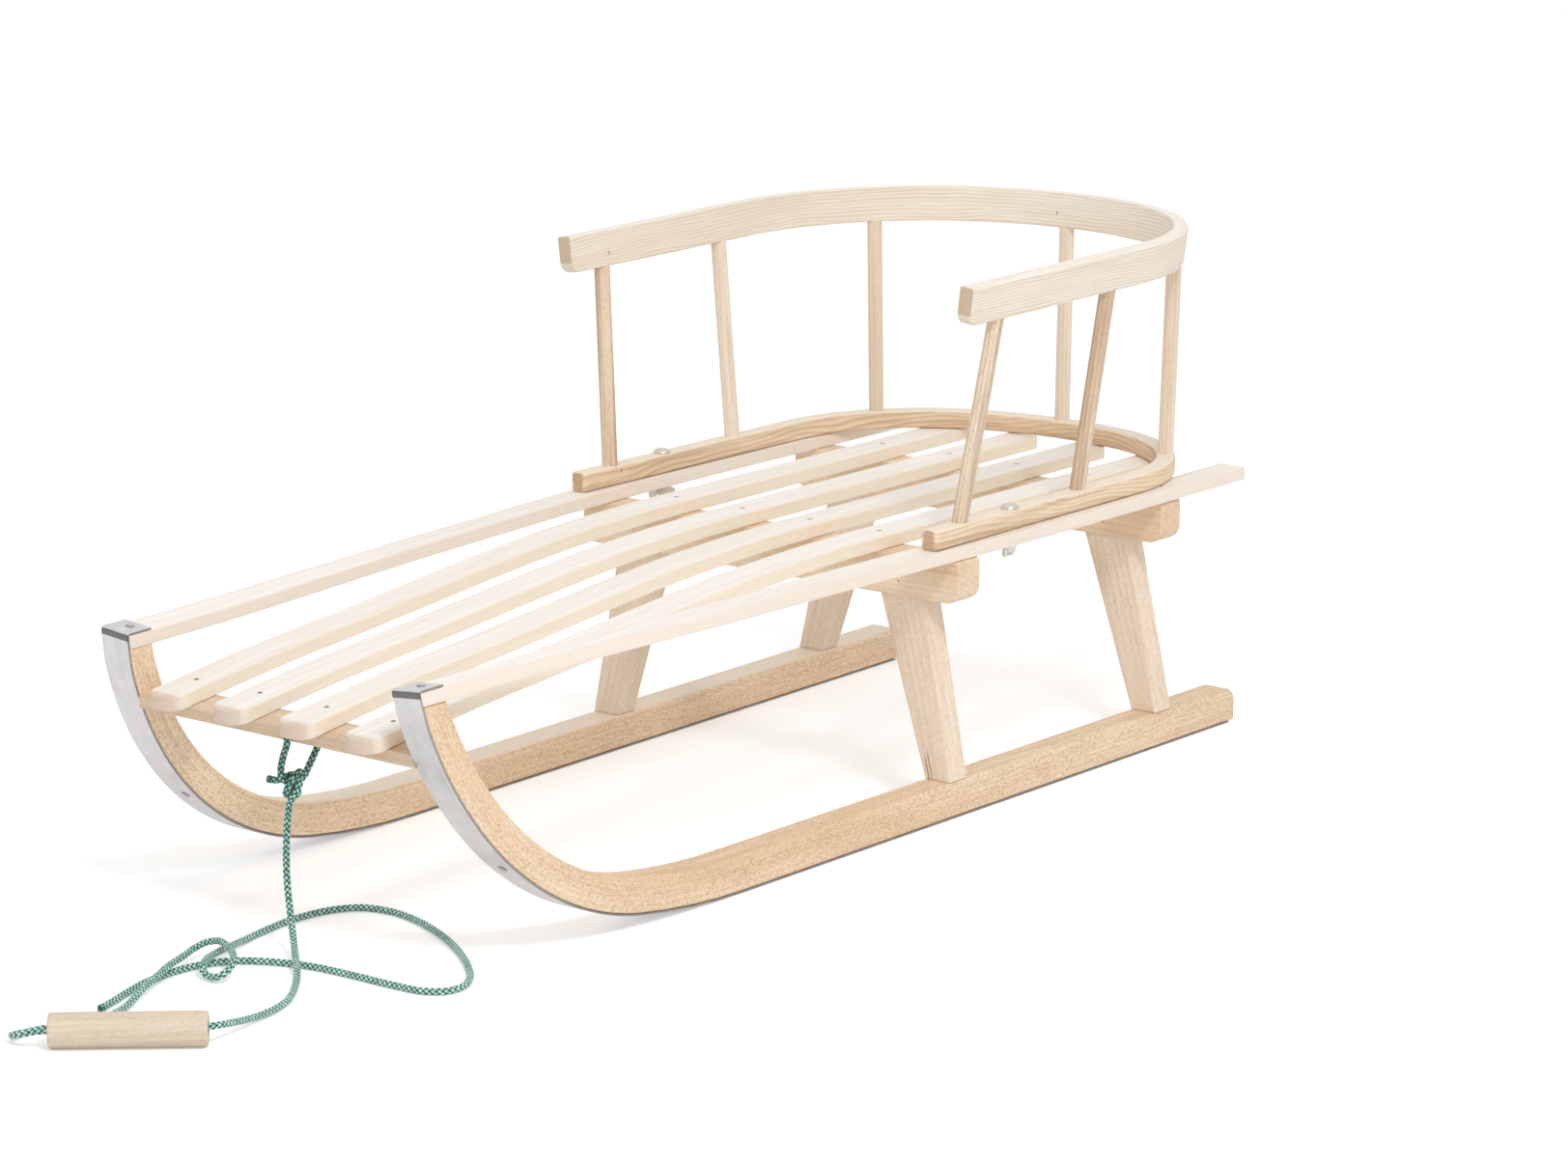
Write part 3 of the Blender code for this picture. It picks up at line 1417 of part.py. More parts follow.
def build_backrest(woods, steel):
    """Both hoops with their spindles and bolts, on a parent that lifts them off."""
    lower = make_lower_hoop(woods["lower hoop"])
    upper = make_upper_hoop(woods["upper hoop"])
    pieces = [lower, upper]
    low_bores = []
    high_bores = []
    for name, (low, high, sides) in spindle_ends().items():
        spindle = Spindle(low, high)
        low_bore, high_bore = spindle.bores()
        for side in sides:
            full = side_name(name, side) if len(sides) > 1 else name
            pieces.append(round_solid(full, spindle.rings(), woods["spindle"], side))
            low_bores.append(low_bore if side > 0 else mirrored(low_bore))
            high_bores.append(high_bore if side > 0 else mirrored(high_bore))
    for side in (1, -1):
        pieces.append(round_solid(side_name("bolt", side), bolt_rings(), steel, side))
        low_bores.append(bolt_bore() if side > 0 else mirrored(bolt_bore()))
    tools = [combine(lower, "DIFFERENCE", low_bores), combine(upper, "DIFFERENCE", high_bores)]
    lift = bpy.data.objects.new("backrest_lift", None)
    lift.location = placed((0.0, BOLT_Y, LOWER_HOOP_UNDERSIDE))
    bpy.context.scene.collection.objects.link(lift)
    for piece in pieces + tools:
        piece.parent = lift
        piece.matrix_parent_inverse = lift.matrix_basis.inverted()


def build_nuts(steel):
    for side in (1, -1):
        make_washer(side_name("washer", side), side, steel)
        make_wing_nut(side_name("wing_nut", side), side, WING_TURN, steel)


def build_pull_rope(wood, fibre):
    make_rope_tie(fibre)
    make_knot(fibre)
    make_rope_tail(fibre)
    make_pull_rope(fibre)
    make_handle(wood)


def build_sled():
    woods = {
        "runner": make_material("beech_runner", (0.72, 0.52, 0.35), 0.55),
        "leg": make_material("beech_leg", (0.78, 0.62, 0.46), 0.55),
        "slat": make_material("beech_slat", (0.86, 0.76, 0.64), 0.50),
        "lower hoop": make_material("ash_lower_hoop", (0.62, 0.45, 0.29), 0.50),
        "upper hoop": make_material("ash_upper_hoop", (0.82, 0.70, 0.55), 0.50),
        "spindle": make_material("turned_spindle", (0.74, 0.58, 0.41), 0.50),
    }
    steel = make_material("galvanised_steel", (0.72, 0.73, 0.75), 0.38, 1.0)
    handle = make_material("turned_handle", (0.78, 0.60, 0.43), 0.55)
    fibre = make_material("green_rope", (0.10, 0.42, 0.33), 0.80)
    bolsters = build_running_gear(woods, steel)
    build_seat(woods, steel, bolsters)
    build_backrest(woods, steel)
    build_nuts(steel)
    build_pull_rope(handle, fibre)


clear_scene()
build_sled()
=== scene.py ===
# %% [markdown]
# # Dressing a child's wooden sled
#
# The sled comes out of CAD as 57 closed solids in metres: two bent runners
# with steel shoes, four legs, two bolsters, six slats, a crossbar, a
# backrest of two bent hoops on seven spindles, and a pull rope with a
# turned handle. This lesson sets up the camera and the light, lays the
# rope, builds each stick again with finer bends and rounded edges, and
# gives every surface its own finish.
#
# Distances along the sled are measured from the front of the curled tips.
# X is across, Y is along towards the backrest, and Z is up.

from math import asin, atan2, cos, floor, pi, radians, sin, sqrt, tan

import bmesh
import bpy
from mathutils import Matrix, Vector


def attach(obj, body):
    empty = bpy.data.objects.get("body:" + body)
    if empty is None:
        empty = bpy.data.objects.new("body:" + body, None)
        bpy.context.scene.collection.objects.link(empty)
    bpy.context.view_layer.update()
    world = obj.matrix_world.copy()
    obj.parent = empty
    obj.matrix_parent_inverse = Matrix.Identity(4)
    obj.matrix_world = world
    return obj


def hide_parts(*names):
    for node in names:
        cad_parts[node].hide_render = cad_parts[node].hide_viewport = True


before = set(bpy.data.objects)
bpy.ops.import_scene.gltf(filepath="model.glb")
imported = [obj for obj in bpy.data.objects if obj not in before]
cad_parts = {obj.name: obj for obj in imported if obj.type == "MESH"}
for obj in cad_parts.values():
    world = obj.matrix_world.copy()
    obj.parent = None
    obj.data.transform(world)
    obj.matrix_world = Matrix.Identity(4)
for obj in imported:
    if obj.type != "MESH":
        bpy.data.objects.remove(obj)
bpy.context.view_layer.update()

UP = Vector((0.0, 0.0, 1.0))
ACROSS = Vector((1.0, 0.0, 0.0))
SLED_LENGTH = 0.9435


def placed(point, side=1):
    """Point of the sled, moved to the middle and put on one side of X = 0."""
    return Vector((side * point[0], point[1] - SLED_LENGTH / 2, point[2]))


def added(name, data):
    """A new object in the scene, made of a mesh, a camera or a lamp."""
    thing = bpy.data.objects.new(name, data)
    bpy.context.scene.collection.objects.link(thing)
    return thing


# %% [markdown]
# ## Camera
#
# The picture was taken from the front left with a long lens, so the lines
# of the slats close in only a little. A camera could be set by eye. Here
# its place, heading and lens come from matching the corners of the legs,
# slats and tips, so the sled fills the frame as in the picture.

# %% Set the camera
CAMERA_PLACE = (2.11586, -2.61730, 0.94089)
CAMERA_HEADING = radians(37.971)
CAMERA_DROP = radians(12.927)
CAMERA_ROLL = radians(0.152)

camera_data = bpy.data.cameras.new("view")
camera_data.sensor_width = 36.0
camera_data.lens = 107.35
camera_data.clip_start = 0.05
camera = added("view", camera_data)
camera.location = CAMERA_PLACE
turns = ((CAMERA_HEADING, "Z"), (pi / 2 - CAMERA_DROP, "X"), (CAMERA_ROLL, "Z"))
heading, drop, roll = (Matrix.Rotation(angle, 3, axis) for angle, axis in turns)
camera.rotation_euler = (heading @ drop @ roll).to_euler()
bpy.context.scene.camera = camera
print("camera at", CAMERA_PLACE, "lens", camera_data.lens)

# %% [markdown]
# ## Rope
#
# The rope is a 5 mm braided cord. It could be a plain curve with a bevel,
# but then it would look like plastic hose up close. Its surface is made as
# a mesh tube instead, and each ring of points is pushed in and out where
# the yarns of a round braid cross over and under each other. Two numbers
# are kept at each point for the finish: how near it is to the middle of its
# yarn, and how high it lies.

# %% Smooth lines and rings of points


def smooth_route(route, steps=12):
    """Dense smooth line through the points of a route."""
    ends = [2 * route[0] - route[1]] + route + [2 * route[-1] - route[-2]]
    line = []
    for k in range(1, len(ends) - 2):
        p0, p1, p2, p3 = ends[k - 1:k + 3]
        t1 = sqrt((p1 - p0).length)
        t2 = t1 + sqrt((p2 - p1).length)
        t3 = t2 + sqrt((p3 - p2).length)
        for step in range(steps):
            t = t1 + (t2 - t1) * step / steps
            middle = p1.lerp(p2, (t - t1) / (t2 - t1))
            early = p0.lerp(p1, t / t1).lerp(middle, t / t2)
            late = middle.lerp(p2.lerp(p3, (t - t2) / (t3 - t2)), (t - t1) / (t3 - t1))
            line.append(early.lerp(late, (t - t1) / (t2 - t1)))
    return line + [route[-1]]


def line_length(line):
    return sum((b - a).length for a, b in zip(line, line[1:]))


def even_points(line, spacing):
    """Points a fixed distance apart along a line, with both ends kept."""
    count = max(2, round(line_length(line) / spacing))
    step = line_length(line) / count
    points = [line[0]]
    passed = 0.0
    for a, b in zip(line, line[1:]):
        stretch = (b - a).length
        while passed + stretch >= step * len(points) - 1e-9 and len(points) < count:
            points.append(a + (b - a) * ((step * len(points) - passed) / stretch))
        passed += stretch
    return points + [line[-1]]


def ring_faces(rings, around, joined=False):
    """Faces between rings of points, with both ends closed unless the rings join up."""
    faces = []
    for k in range(rings if joined else rings - 1):
        here, there = k * around, (k + 1) % rings * around
        for j in range(around):
            after = (j + 1) % around
            faces.append((here + j, here + after, there + after, there + j))
    if not joined:
        faces.append(tuple(reversed(range(around))))
        faces.append(tuple(range((rings - 1) * around, rings * around)))
    return faces


def meshed(name, points, faces):
    mesh = bpy.data.meshes.new(name)
    mesh.from_pydata(points, [], faces)
    mesh.shade_smooth()
    return mesh


# %% Braided tube
ROPE_RADIUS = 0.0025
ROPE_AROUND = 32
ROPE_SPACING = 0.0005
BRAID_YARNS = 4
BRAID_PITCH = 0.0160
BRAID_RELIEF = 0.16
MELTED_END = ((0.0000, 0.55), (0.0007, 0.95), (0.0018, 1.16), (0.0034, 1.06), (0.0048, 1.0))


def braid(turn, length):
    """Height of the braid, and nearness to the middle of the yarn on top, from 0 to 1."""
    right = BRAID_YARNS * (turn + length / BRAID_PITCH)
    left = BRAID_YARNS * (turn - length / BRAID_PITCH)
    across, along = right % 1, left % 1
    if (floor(right) - floor(left)) % 2:
        across, along = along, across
    crown = 1 - (2 * across - 1) ** 2
    return crown * (1 - 0.5 * (2 * along - 1) ** 2), crown


def melted(distance):
    """Share of the full radius at a distance from an end that was cut with heat."""
    for (near, low), (far, high) in zip(MELTED_END, MELTED_END[1:]):
        if distance < far:
            return low + (high - low) * max(distance - near, 0.0) / (far - near)
    return 1.0


def braided_tube(name, line):
    """A mesh tube along a line, with the relief of a braid."""
    points = even_points(line, ROPE_SPACING)
    last = len(points) - 1
    full = line_length(line)
    forward = (points[1] - points[0]).normalized()
    first = (UP if abs(forward.z) < 0.9 else ACROSS).cross(forward).normalized()
    verts = []
    marks = {"yarn_crown": [], "yarn_height": [], "melt": []}
    for k, point in enumerate(points):
        forward = (points[min(k + 1, last)] - points[max(k - 1, 0)]).normalized()
        first = (first - forward * first.dot(forward)).normalized()
        second = forward.cross(first)
        thick = melted(full - full * k / last)
        for j in range(ROPE_AROUND):
            turn = j / ROPE_AROUND
            height, crown = braid(turn, k * ROPE_SPACING)
            radius = ROPE_RADIUS * (1 - BRAID_RELIEF * (1 - height)) * thick
            spoke = first * cos(2 * pi * turn) + second * sin(2 * pi * turn)
            verts.append(placed(point + spoke * radius))
            for values, value in zip(marks.values(), (crown, height, abs(thick - 1))):
                values.append(value)
    mesh = meshed(name, verts, ring_faces(len(points), ROPE_AROUND))
    for label, values in marks.items():
        mesh.attributes.new(label, "FLOAT", "POINT").data.foreach_set("value", values)
    return added(name, mesh)


# %% [markdown]
# The rope hangs from its knot to the floor, turns to the handle, goes
# through it and comes back in a small loop and one wide loop. Its loose
# end lies beside the handle. The route is a list of points in metres that
# one smooth line is drawn through. It is the CAD solid's route, except that
# the small loop stands up a little more, as a stiff new cord does.

# %% Lay the pull rope
KNOT_CENTRE = Vector((0.0135, 0.0200, 0.1133))
KNOT_RIGHT = Vector((0.788, 0.615, 0.0))
KNOT_FRONT = Vector((0.615, -0.788, 0.0))
THROUGH_KNOT = (
    (6.6, -2.4, 6.0), (4.2, 1.0, 3.2), (2.8, 2.4, -0.6), (1.4, 3.0, -4.6),
    (-1.2, 2.6, -8.2), (-3.1, 1.4, -11.8), (-4.2, 0.6, -16.0),
)
FROM_THE_KNOT = (
    (0.0085, 0.0177, 0.0900), (0.0066, 0.0176, 0.0660), (0.0078, 0.0165, 0.0460),
    (0.0123, 0.0138, 0.0290), (0.0210, 0.0070, 0.0160), (0.0320, -0.0030, 0.0100),
    (0.0445, -0.0150, 0.0084), (0.0590, -0.0285, 0.0055), (0.0695, -0.0400, 0.0030),
    (0.0810, -0.0545, 0.0025), (0.0930, -0.0730, 0.0025), (0.1000, -0.0920, 0.0027),
    (0.1035, -0.1100, 0.0036), (0.1075, -0.1280, 0.0062), (0.1120, -0.1440, 0.0095),
    (0.1143, -0.1575, 0.0120), (0.1119, -0.1645, 0.0122), (0.1045, -0.1715, 0.0116),
    (0.0752, -0.1971, 0.0114), (0.0373, -0.2297, 0.0114), (0.0310, -0.2350, 0.0108),
    (0.0225, -0.2395, 0.0085), (0.0125, -0.2375, 0.0050), (0.0085, -0.2250, 0.0027),
    (0.0130, -0.2090, 0.0025), (0.0210, -0.1910, 0.0025), (0.0265, -0.1710, 0.0025),
    (0.0210, -0.1470, 0.0027), (0.0120, -0.1240, 0.0060), (0.0024, -0.1003, 0.0078),
    (-0.0052, -0.0831, 0.0086), (-0.0110, -0.0652, 0.0090), (-0.0162, -0.0474, 0.0102),
    (-0.0155, -0.0380, 0.0118), (-0.0090, -0.0343, 0.0134), (0.0045, -0.0391, 0.0146),
    (0.0189, -0.0479, 0.0144), (0.0292, -0.0574, 0.0122), (0.0311, -0.0637, 0.0086),
    (0.0292, -0.0694, 0.0054), (0.0231, -0.0708, 0.0036), (0.0163, -0.0706, 0.0046),
    (0.0113, -0.0680, 0.0076), (0.0042, -0.0574, 0.0086), (-0.0017, -0.0445, 0.0080),
    (-0.0081, -0.0279, 0.0064), (-0.0147, -0.0110, 0.0044), (-0.0202, 0.0048, 0.0028),
)
ON_THE_FLOOR = (
    (-0.0235, 0.0190), (-0.0277, 0.0578), (-0.0232, 0.0879), (-0.0102, 0.1070),
    (0.0125, 0.1130), (0.0405, 0.1083), (0.0772, 0.0931), (0.1136, 0.0710),
    (0.1390, 0.0507), (0.1540, 0.0350), (0.1620, 0.0190), (0.1605, 0.0050),
    (0.1490, -0.0040), (0.1270, -0.0070), (0.0894, -0.0080), (0.0610, -0.0100),
    (0.0435, -0.0140), (0.0240, -0.0220), (0.0070, -0.0340), (-0.0040, -0.0530),
    (-0.0075, -0.0725), (-0.0072, -0.0895), (-0.0050, -0.1070), (0.0010, -0.1280),
    (0.0070, -0.1460), (0.0115, -0.1610),
)


def in_knot(right, front, up):
    """Point by its millimetres to the right of, in front of and above the knot's middle."""
    return KNOT_CENTRE + (KNOT_RIGHT * right + KNOT_FRONT * front + UP * up) / 1000


rope_route = [in_knot(*spot) for spot in THROUGH_KNOT] + [Vector(point) for point in FROM_THE_KNOT]
rope_line = smooth_route(rope_route + [Vector((x, y, ROPE_RADIUS)) for x, y in ON_THE_FLOOR])
pull_cord = braided_tube("pull_cord", rope_line)
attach(pull_cord, "sled")
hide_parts("pull_rope")
rope_length = line_length(rope_line)
print(f"pull cord: {rope_length:.3f} m, {len(pull_cord.data.vertices)} points")

# %% [markdown]
# ### The loop and the knot
#
# The same cord goes up behind the crossbar, over it and down in front. Its
# end then passes behind the standing part, turns over it and down beside
# it, goes once more round the back and stands out to the left, where its
# melted tip is a little thicker. A solid blob would do for a far view. Here
# the cord follows the real turns, so the knot has the right gaps and bulges
# from every side.

# %% Loop over the crossbar and tie the knot
TIE_START = ((6.6, -2.4, 6.0), (8.7, -6.8, 10.4), (14.2, -14.9, 22.2))
TIE_OVER_BAR = (
    (0.0142, 0.0494, 0.1463), (0.0131, 0.0487, 0.1535), (0.0129, 0.0428, 0.1592),
    (0.0129, 0.0345, 0.1591), (0.0129, 0.0250, 0.1578), (0.0130, 0.0165, 0.1566),
    (0.0134, 0.0114, 0.1550), (0.0152, 0.0097, 0.1510), (0.0165, 0.0105, 0.1455),
)
KNOT_TURNS = (
    (-7.4, 5.4, 18.2), (-8.7, 4.4, 9.0), (-7.6, 3.2, 4.2), (-4.4, 0.6, 2.0), (0.2, -3.0, 2.2),
    (3.6, -4.6, 5.2), (3.0, -1.5, 8.2), (0.2, 3.4, 5.8), (-2.8, 5.6, 1.6), (-5.0, 4.6, -3.0),
    (-5.8, 1.0, -6.4), (-3.8, -2.8, -8.6), (0.2, -3.8, -8.4), (2.0, -3.4, -6.2), (-2.3, -5.0, -4.4),
    (1.2, -6.2, 1.4), (-1.6, -6.0, 4.8), (-5.4, -3.6, 4.6), (-9.0, -1.0, 3.3), (-12.7, -0.6, 2.6),
    (-16.4, -0.4, 3.2), (-19.0, -0.2, 3.6),
)
tie_route = [in_knot(*spot) for spot in TIE_START]
tie_route += [Vector(point) for point in TIE_OVER_BAR]
tie_route += [in_knot(*turn) for turn in KNOT_TURNS]
tie_line = smooth_route(tie_route)
tie_cord = braided_tube("tie_cord", tie_line)
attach(tie_cord, "sled")
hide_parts("rope_tie", "rope_knot", "rope_tail")
tie_length = line_length(tie_line)
print(f"tie: {tie_length:.3f} m")

# %% [markdown]
# ## Lines that the sticks follow
#
# The runners are bent from square sticks: flat on the floor, then four
# bends that tighten and ease again up to the tip. The whole curl leans in
# a little and both runners toe in. The same numbers as in the CAD are used
# here, with more and shorter steps, so that the bends look bent and not
# cut from facets.

# %% Curl of the runners
RUNNER_REAR = 0.920027
RUNNER_WIDTH = 0.025
RUNNER_HEIGHT = 0.026
RUNNER_TIP_HEIGHT = 0.0222
RUNNER_HALF_SPREAD = 0.1780
RUNNER_TOE_IN = 0.0155
RUNNER_END_ROUNDING = 0.008
CURL_ARCS = ((0.674, 9.35), (0.240, 46.9), (0.252, 70.0), (0.120, 80.5))
CURL_STEP = radians(2.4)
LEAN_IN = 0.0182
LEAN_HEIGHT = 0.200
LEAN_POWER = 1.127
SHOE_THICKNESS = 0.0013
SHOE_REAR_INSET = 0.007
SHOE_BEND_RADIUS = 0.0015
SHOE_FLAP = 0.0215
SLAT_THICKNESS = 0.010
SLAT_UNDERSIDE = 0.1962
SLAT_REAR = 0.925027
SLAT_END_ROUNDING = 0.003
OUTER_SLAT_DROP = ((0.000, 0.0072), (0.200, 0.0042), (0.400, 0.0012), (0.535, 0.0000))
TOUCH_GAP = 0.0003
WOOD_BOTTOM = SHOE_THICKNESS + TOUCH_GAP
READ_STEP = 0.0005


def curl_bends():
    """Start of each bend: radius, heading, distance, height and length."""
    bends = []
    forward = height = heading = length = 0.0
    for radius, turned_to in CURL_ARCS:
        turn = radians(turned_to)
        bends.append((radius, heading, forward, height, length))
        forward += radius * (sin(turn) - sin(heading))
        height += radius * (cos(heading) - cos(turn))
        length += radius * (turn - heading)
        heading = turn
    bends.append((None, heading, forward, height, length))
    return bends


CURL_BENDS = curl_bends()
LAST_HEADING, LAST_FORWARD, LAST_HEIGHT, CURL_LENGTH = CURL_BENDS[-1][1:]
TIP_UNDERSIDE = SLAT_UNDERSIDE - OUTER_SLAT_DROP[0][1]
SHOE_BEND_Z = TIP_UNDERSIDE + SLAT_THICKNESS - SHOE_BEND_RADIUS
CURL_START_Y = LAST_FORWARD + (SHOE_BEND_Z - LAST_HEIGHT) / tan(LAST_HEADING)


def curl_point(length):
    """Distance along the sled and height, at a length along the curl."""
    if length <= 0:
        return CURL_START_Y - length, 0.0
    for radius, heading, forward, height, start in reversed(CURL_BENDS):
        if length >= start:
            break
    if radius is None:
        run = length - start
        forward += run * cos(heading)
        height += run * sin(heading)
    else:
        turn = heading + (length - start) / radius
        forward += radius * (sin(turn) - sin(heading))
        height += radius * (cos(heading) - cos(turn))
    return CURL_START_Y - forward, height


def runner_middle(y):
    return RUNNER_HALF_SPREAD - RUNNER_TOE_IN * (RUNNER_REAR - y) - RUNNER_WIDTH / 2


def runner_line(length):
    y, z = curl_point(length)
    return Vector((runner_middle(y) - LEAN_IN * (z / LEAN_HEIGHT) ** LEAN_POWER, y, z))


def runner_frame(length):
    """Point on the underside, and the ways forward, outward and into the wood."""
    ahead = runner_line(length + READ_STEP)
    forward = (ahead - runner_line(length - READ_STEP)).normalized()
    outward = (ACROSS - forward * ACROSS.dot(forward)).normalized()
    return runner_line(length), forward, outward, forward.cross(outward)


def runner_spot(length, u, n):
    point, _, outward, inward = runner_frame(length)
    return point + outward * u + inward * n


def wood_height(length):
    share = min(max(length / CURL_LENGTH, 0.0), 1.0)
    return RUNNER_HEIGHT + (RUNNER_TIP_HEIGHT - RUNNER_HEIGHT) * share


def curl_lengths():
    lengths = [0.0]
    for bend, after in zip(CURL_BENDS, CURL_BENDS[1:]):
        steps = max(1, round((after[1] - bend[1]) / CURL_STEP))
        for k in range(1, steps + 1):
            lengths.append(bend[4] + (after[4] - bend[4]) * k / steps)
    return lengths


def length_at_height(height, n):
    low, high = 0.0, CURL_LENGTH * 1.2
    for _ in range(40):
        middle = (low + high) / 2
        if runner_spot(middle, 0.0, n).z < height:
            low = middle
        else:
            high = middle
    return low


print(f"curl: {CURL_LENGTH:.3f} m of bent wood in {len(curl_lengths())} steps")

# %% [markdown]
# The six slats are thin and springy. They lie level on the bolsters and
# droop to the front: the four inner ones down to the crossbar, the outer
# ones only to the tips of the runners, where they twist a little to lie
# flat on the leaning wood.

# %% Bend of the slats
INNER_SLAT_WIDTH = 0.0295
INNER_SLAT_CORNER = 0.0125
INNER_SLAT_REACH = 0.0030
INNER_SLAT_X = ((0.0305, 0.0330), (0.0900, 0.1010))
INNER_SLAT_DROP = (
    (0.000, 0.0442), (0.060, 0.0367), (0.110, 0.0310), (0.200, 0.0228),
    (0.310, 0.0119), (0.390, 0.0050), (0.470, 0.0011), (0.535, 0.0000),
)
OUTER_SLAT_WIDTH = 0.0245
OUTER_SLAT_TIP_INSET = 0.001
OUTER_SLAT_EDGE_X = (
    (0.100, 0.1490), (0.200, 0.1560), (0.300, 0.1635), (0.400, 0.1690),
    (0.500, 0.1750), (0.600, 0.1795), (0.700, 0.1810),
)
OUTER_SLAT_LEVEL_Y = 0.450


def smooth_curve(points, position):
    """Value at a position on a smooth curve through (position, value) points."""
    if position >= points[-1][0]:
        return points[-1][1]
    slopes = []
    for k in range(len(points)):
        before, after = points[max(k - 1, 0)], points[min(k + 1, len(points) - 1)]
        slopes.append((after[1] - before[1]) / (after[0] - before[0]))
    slopes[-1] = 0.0
    k = sum(position > start for start, _ in points[1:-1])
    (start, low), (end, high) = points[k:k + 2]
    span = end - start
    t = (position - start) / span
    if t < 0:
        return low + slopes[0] * (position - start)
    rise = 3 * t ** 2 - 2 * t ** 3
    first = (t - 2 * t ** 2 + t ** 3) * span * slopes[k]
    last = (t ** 3 - t ** 2) * span * slopes[k + 1]
    return low + (high - low) * rise + first + last


def slid_onto(point, direction, plane_point, normal):
    """Point moved along a direction until it lies on a plane."""
    return point + direction * ((plane_point - point).dot(normal) / direction.dot(normal))


def inner_underside(y):
    return SLAT_UNDERSIDE - smooth_curve(INNER_SLAT_DROP, y)


def outer_underside(y):
    return SLAT_UNDERSIDE - smooth_curve(OUTER_SLAT_DROP, y)


tip_length = length_at_height(TIP_UNDERSIDE, WOOD_BOTTOM + RUNNER_TIP_HEIGHT / 2)
TIP_POINT, TIP_FORWARD, TIP_OUTWARD, TIP_INWARD = runner_frame(tip_length)
TIP_MIDDLE = TIP_POINT + TIP_INWARD * (WOOD_BOTTOM + RUNNER_TIP_HEIGHT / 2)
TIP_TILT = atan2(TIP_OUTWARD.z, TIP_OUTWARD.x)


def outer_slat_middle(y):
    front = (0.0, TIP_MIDDLE.x - OUTER_SLAT_TIP_INSET + OUTER_SLAT_WIDTH / 2)
    return smooth_curve((front, *OUTER_SLAT_EDGE_X), y) - OUTER_SLAT_WIDTH / 2


def outer_slat_frame(y):
    """Middle of the underside, and the ways across, up and along."""
    share = min(max(y / OUTER_SLAT_LEVEL_Y, 0.0), 1.0)
    tilt = TIP_TILT * (1 - 3 * share ** 2 + 2 * share ** 3)
    along = Vector((
        outer_slat_middle(y + READ_STEP) - outer_slat_middle(y - READ_STEP),
        2 * READ_STEP,
        outer_underside(y + READ_STEP) - outer_underside(y - READ_STEP),
    )).normalized()
    middle = Vector((outer_slat_middle(y), y, outer_underside(y)))
    across = Vector((cos(tilt), 0.0, sin(tilt)))
    up = Vector((-sin(tilt), 0.0, cos(tilt)))
    return middle, across, up, along


def tip_plane(height):
    """Plane of the outer slat's underside at the tip, moved up by a height."""
    middle, _, _, along = outer_slat_frame(TIP_MIDDLE.y)
    normal = TIP_OUTWARD.cross(along).normalized()
    return middle + normal * height, normal


print(f"tip: {TIP_MIDDLE.z * 1000:.1f} mm up, tilted {TIP_TILT * 57.3:.1f} degrees")

# %% [markdown]
# ## Sticks of wood
#
# A stick is a rounded section carried along its line. Each point also
# keeps where it lies inside the uncut wood: how far along the stick, how
# far across and how high. The wood finish reads those three numbers, so
# the grain bends with the stick, as it does when wood is bent in steam.

# %% Sections and sticks
CHAMFER = 0.0006
SHARP_ANGLE = radians(50)


def easing(radius, steps):
    """Way in from the end and inset from the side, for points on a quarter round."""
    turns = [pi / 2 * k / steps for k in range(steps + 1)]
    return [(radius * (1 - cos(turn)), radius * (1 - sin(turn))) for turn in turns]


def rounded(half_width, low, high, radii, steps=3):
    """Rectangle with rounded corners, from the low left one round to the top left."""
    points = []
    corners = ((-1, 0, 180), (1, 0, 270), (1, 1, 0), (-1, 1, 90))
    for (right, top, turn), radius in zip(corners, radii):
        u = right * (half_width - radius)
        v = high - radius if top else low + radius
        for k in range(steps + 1):
            angle = radians(turn + 90 * k / steps)
            points.append((u + radius * cos(angle), v + radius * sin(angle)))
    return points


def shrunk(outline, inset=CHAMFER):
    """Outline moved inwards by a distance, roughly, towards its middle."""
    half = max(u for u, _ in outline)
    high, low = max(v for _, v in outline), min(v for _, v in outline)
    middle, tall = (high + low) / 2, (high - low) / 2
    across, up = (half - inset) / half, (tall - inset) / tall
    return [(u * across, middle + (v - middle) * up) for u, v in outline]


def both_ends(rings):
    """Marks the first and the last ring as cut across the grain."""
    return [1.0, *[0.0] * (len(rings) - 2), 1.0]


def stick(name, rings, side=1, joined=False, shift=0.0, cuts=None):
    """A mesh from rings of (point, (along, across, up)), shaded round at its edges."""
    spots = [spot for ring in rings for spot in ring]
    around = len(rings[0])
    points = [placed(point, side) for point, _ in spots]
    mesh = meshed(name, points, ring_faces(len(rings), around, joined))
    layer = mesh.attributes.new("grain", "FLOAT_VECTOR", "POINT")
    for spot, (_, (along, across, up)) in zip(layer.data, spots):
        spot.vector = (along + shift, across, up)
    cut = mesh.attributes.new("end_cut", "FLOAT", "POINT")
    for k, spot in enumerate(cut.data):
        spot.value = cuts[k // around] if cuts else 0.0
    shell = bmesh.new()
    shell.from_mesh(mesh)
    bmesh.ops.recalc_face_normals(shell, faces=shell.faces[:])
    shell.to_mesh(mesh)
    shell.free()
    mesh.set_sharp_from_angle(angle=SHARP_ANGLE)
    piece = added(name, mesh)
    piece.modifiers.new("edges", "WEIGHTED_NORMAL").keep_sharp = True
    return piece


def fitted(node, rings, body, slot, finish, kind="_wood", **options):
    """A stick that takes the place of a CAD node, on its body, with a finish."""
    piece = stick(node + kind, rings, **options)
    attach(piece, body)
    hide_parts(node)
    piece.data.materials.append(finish)
    return piece


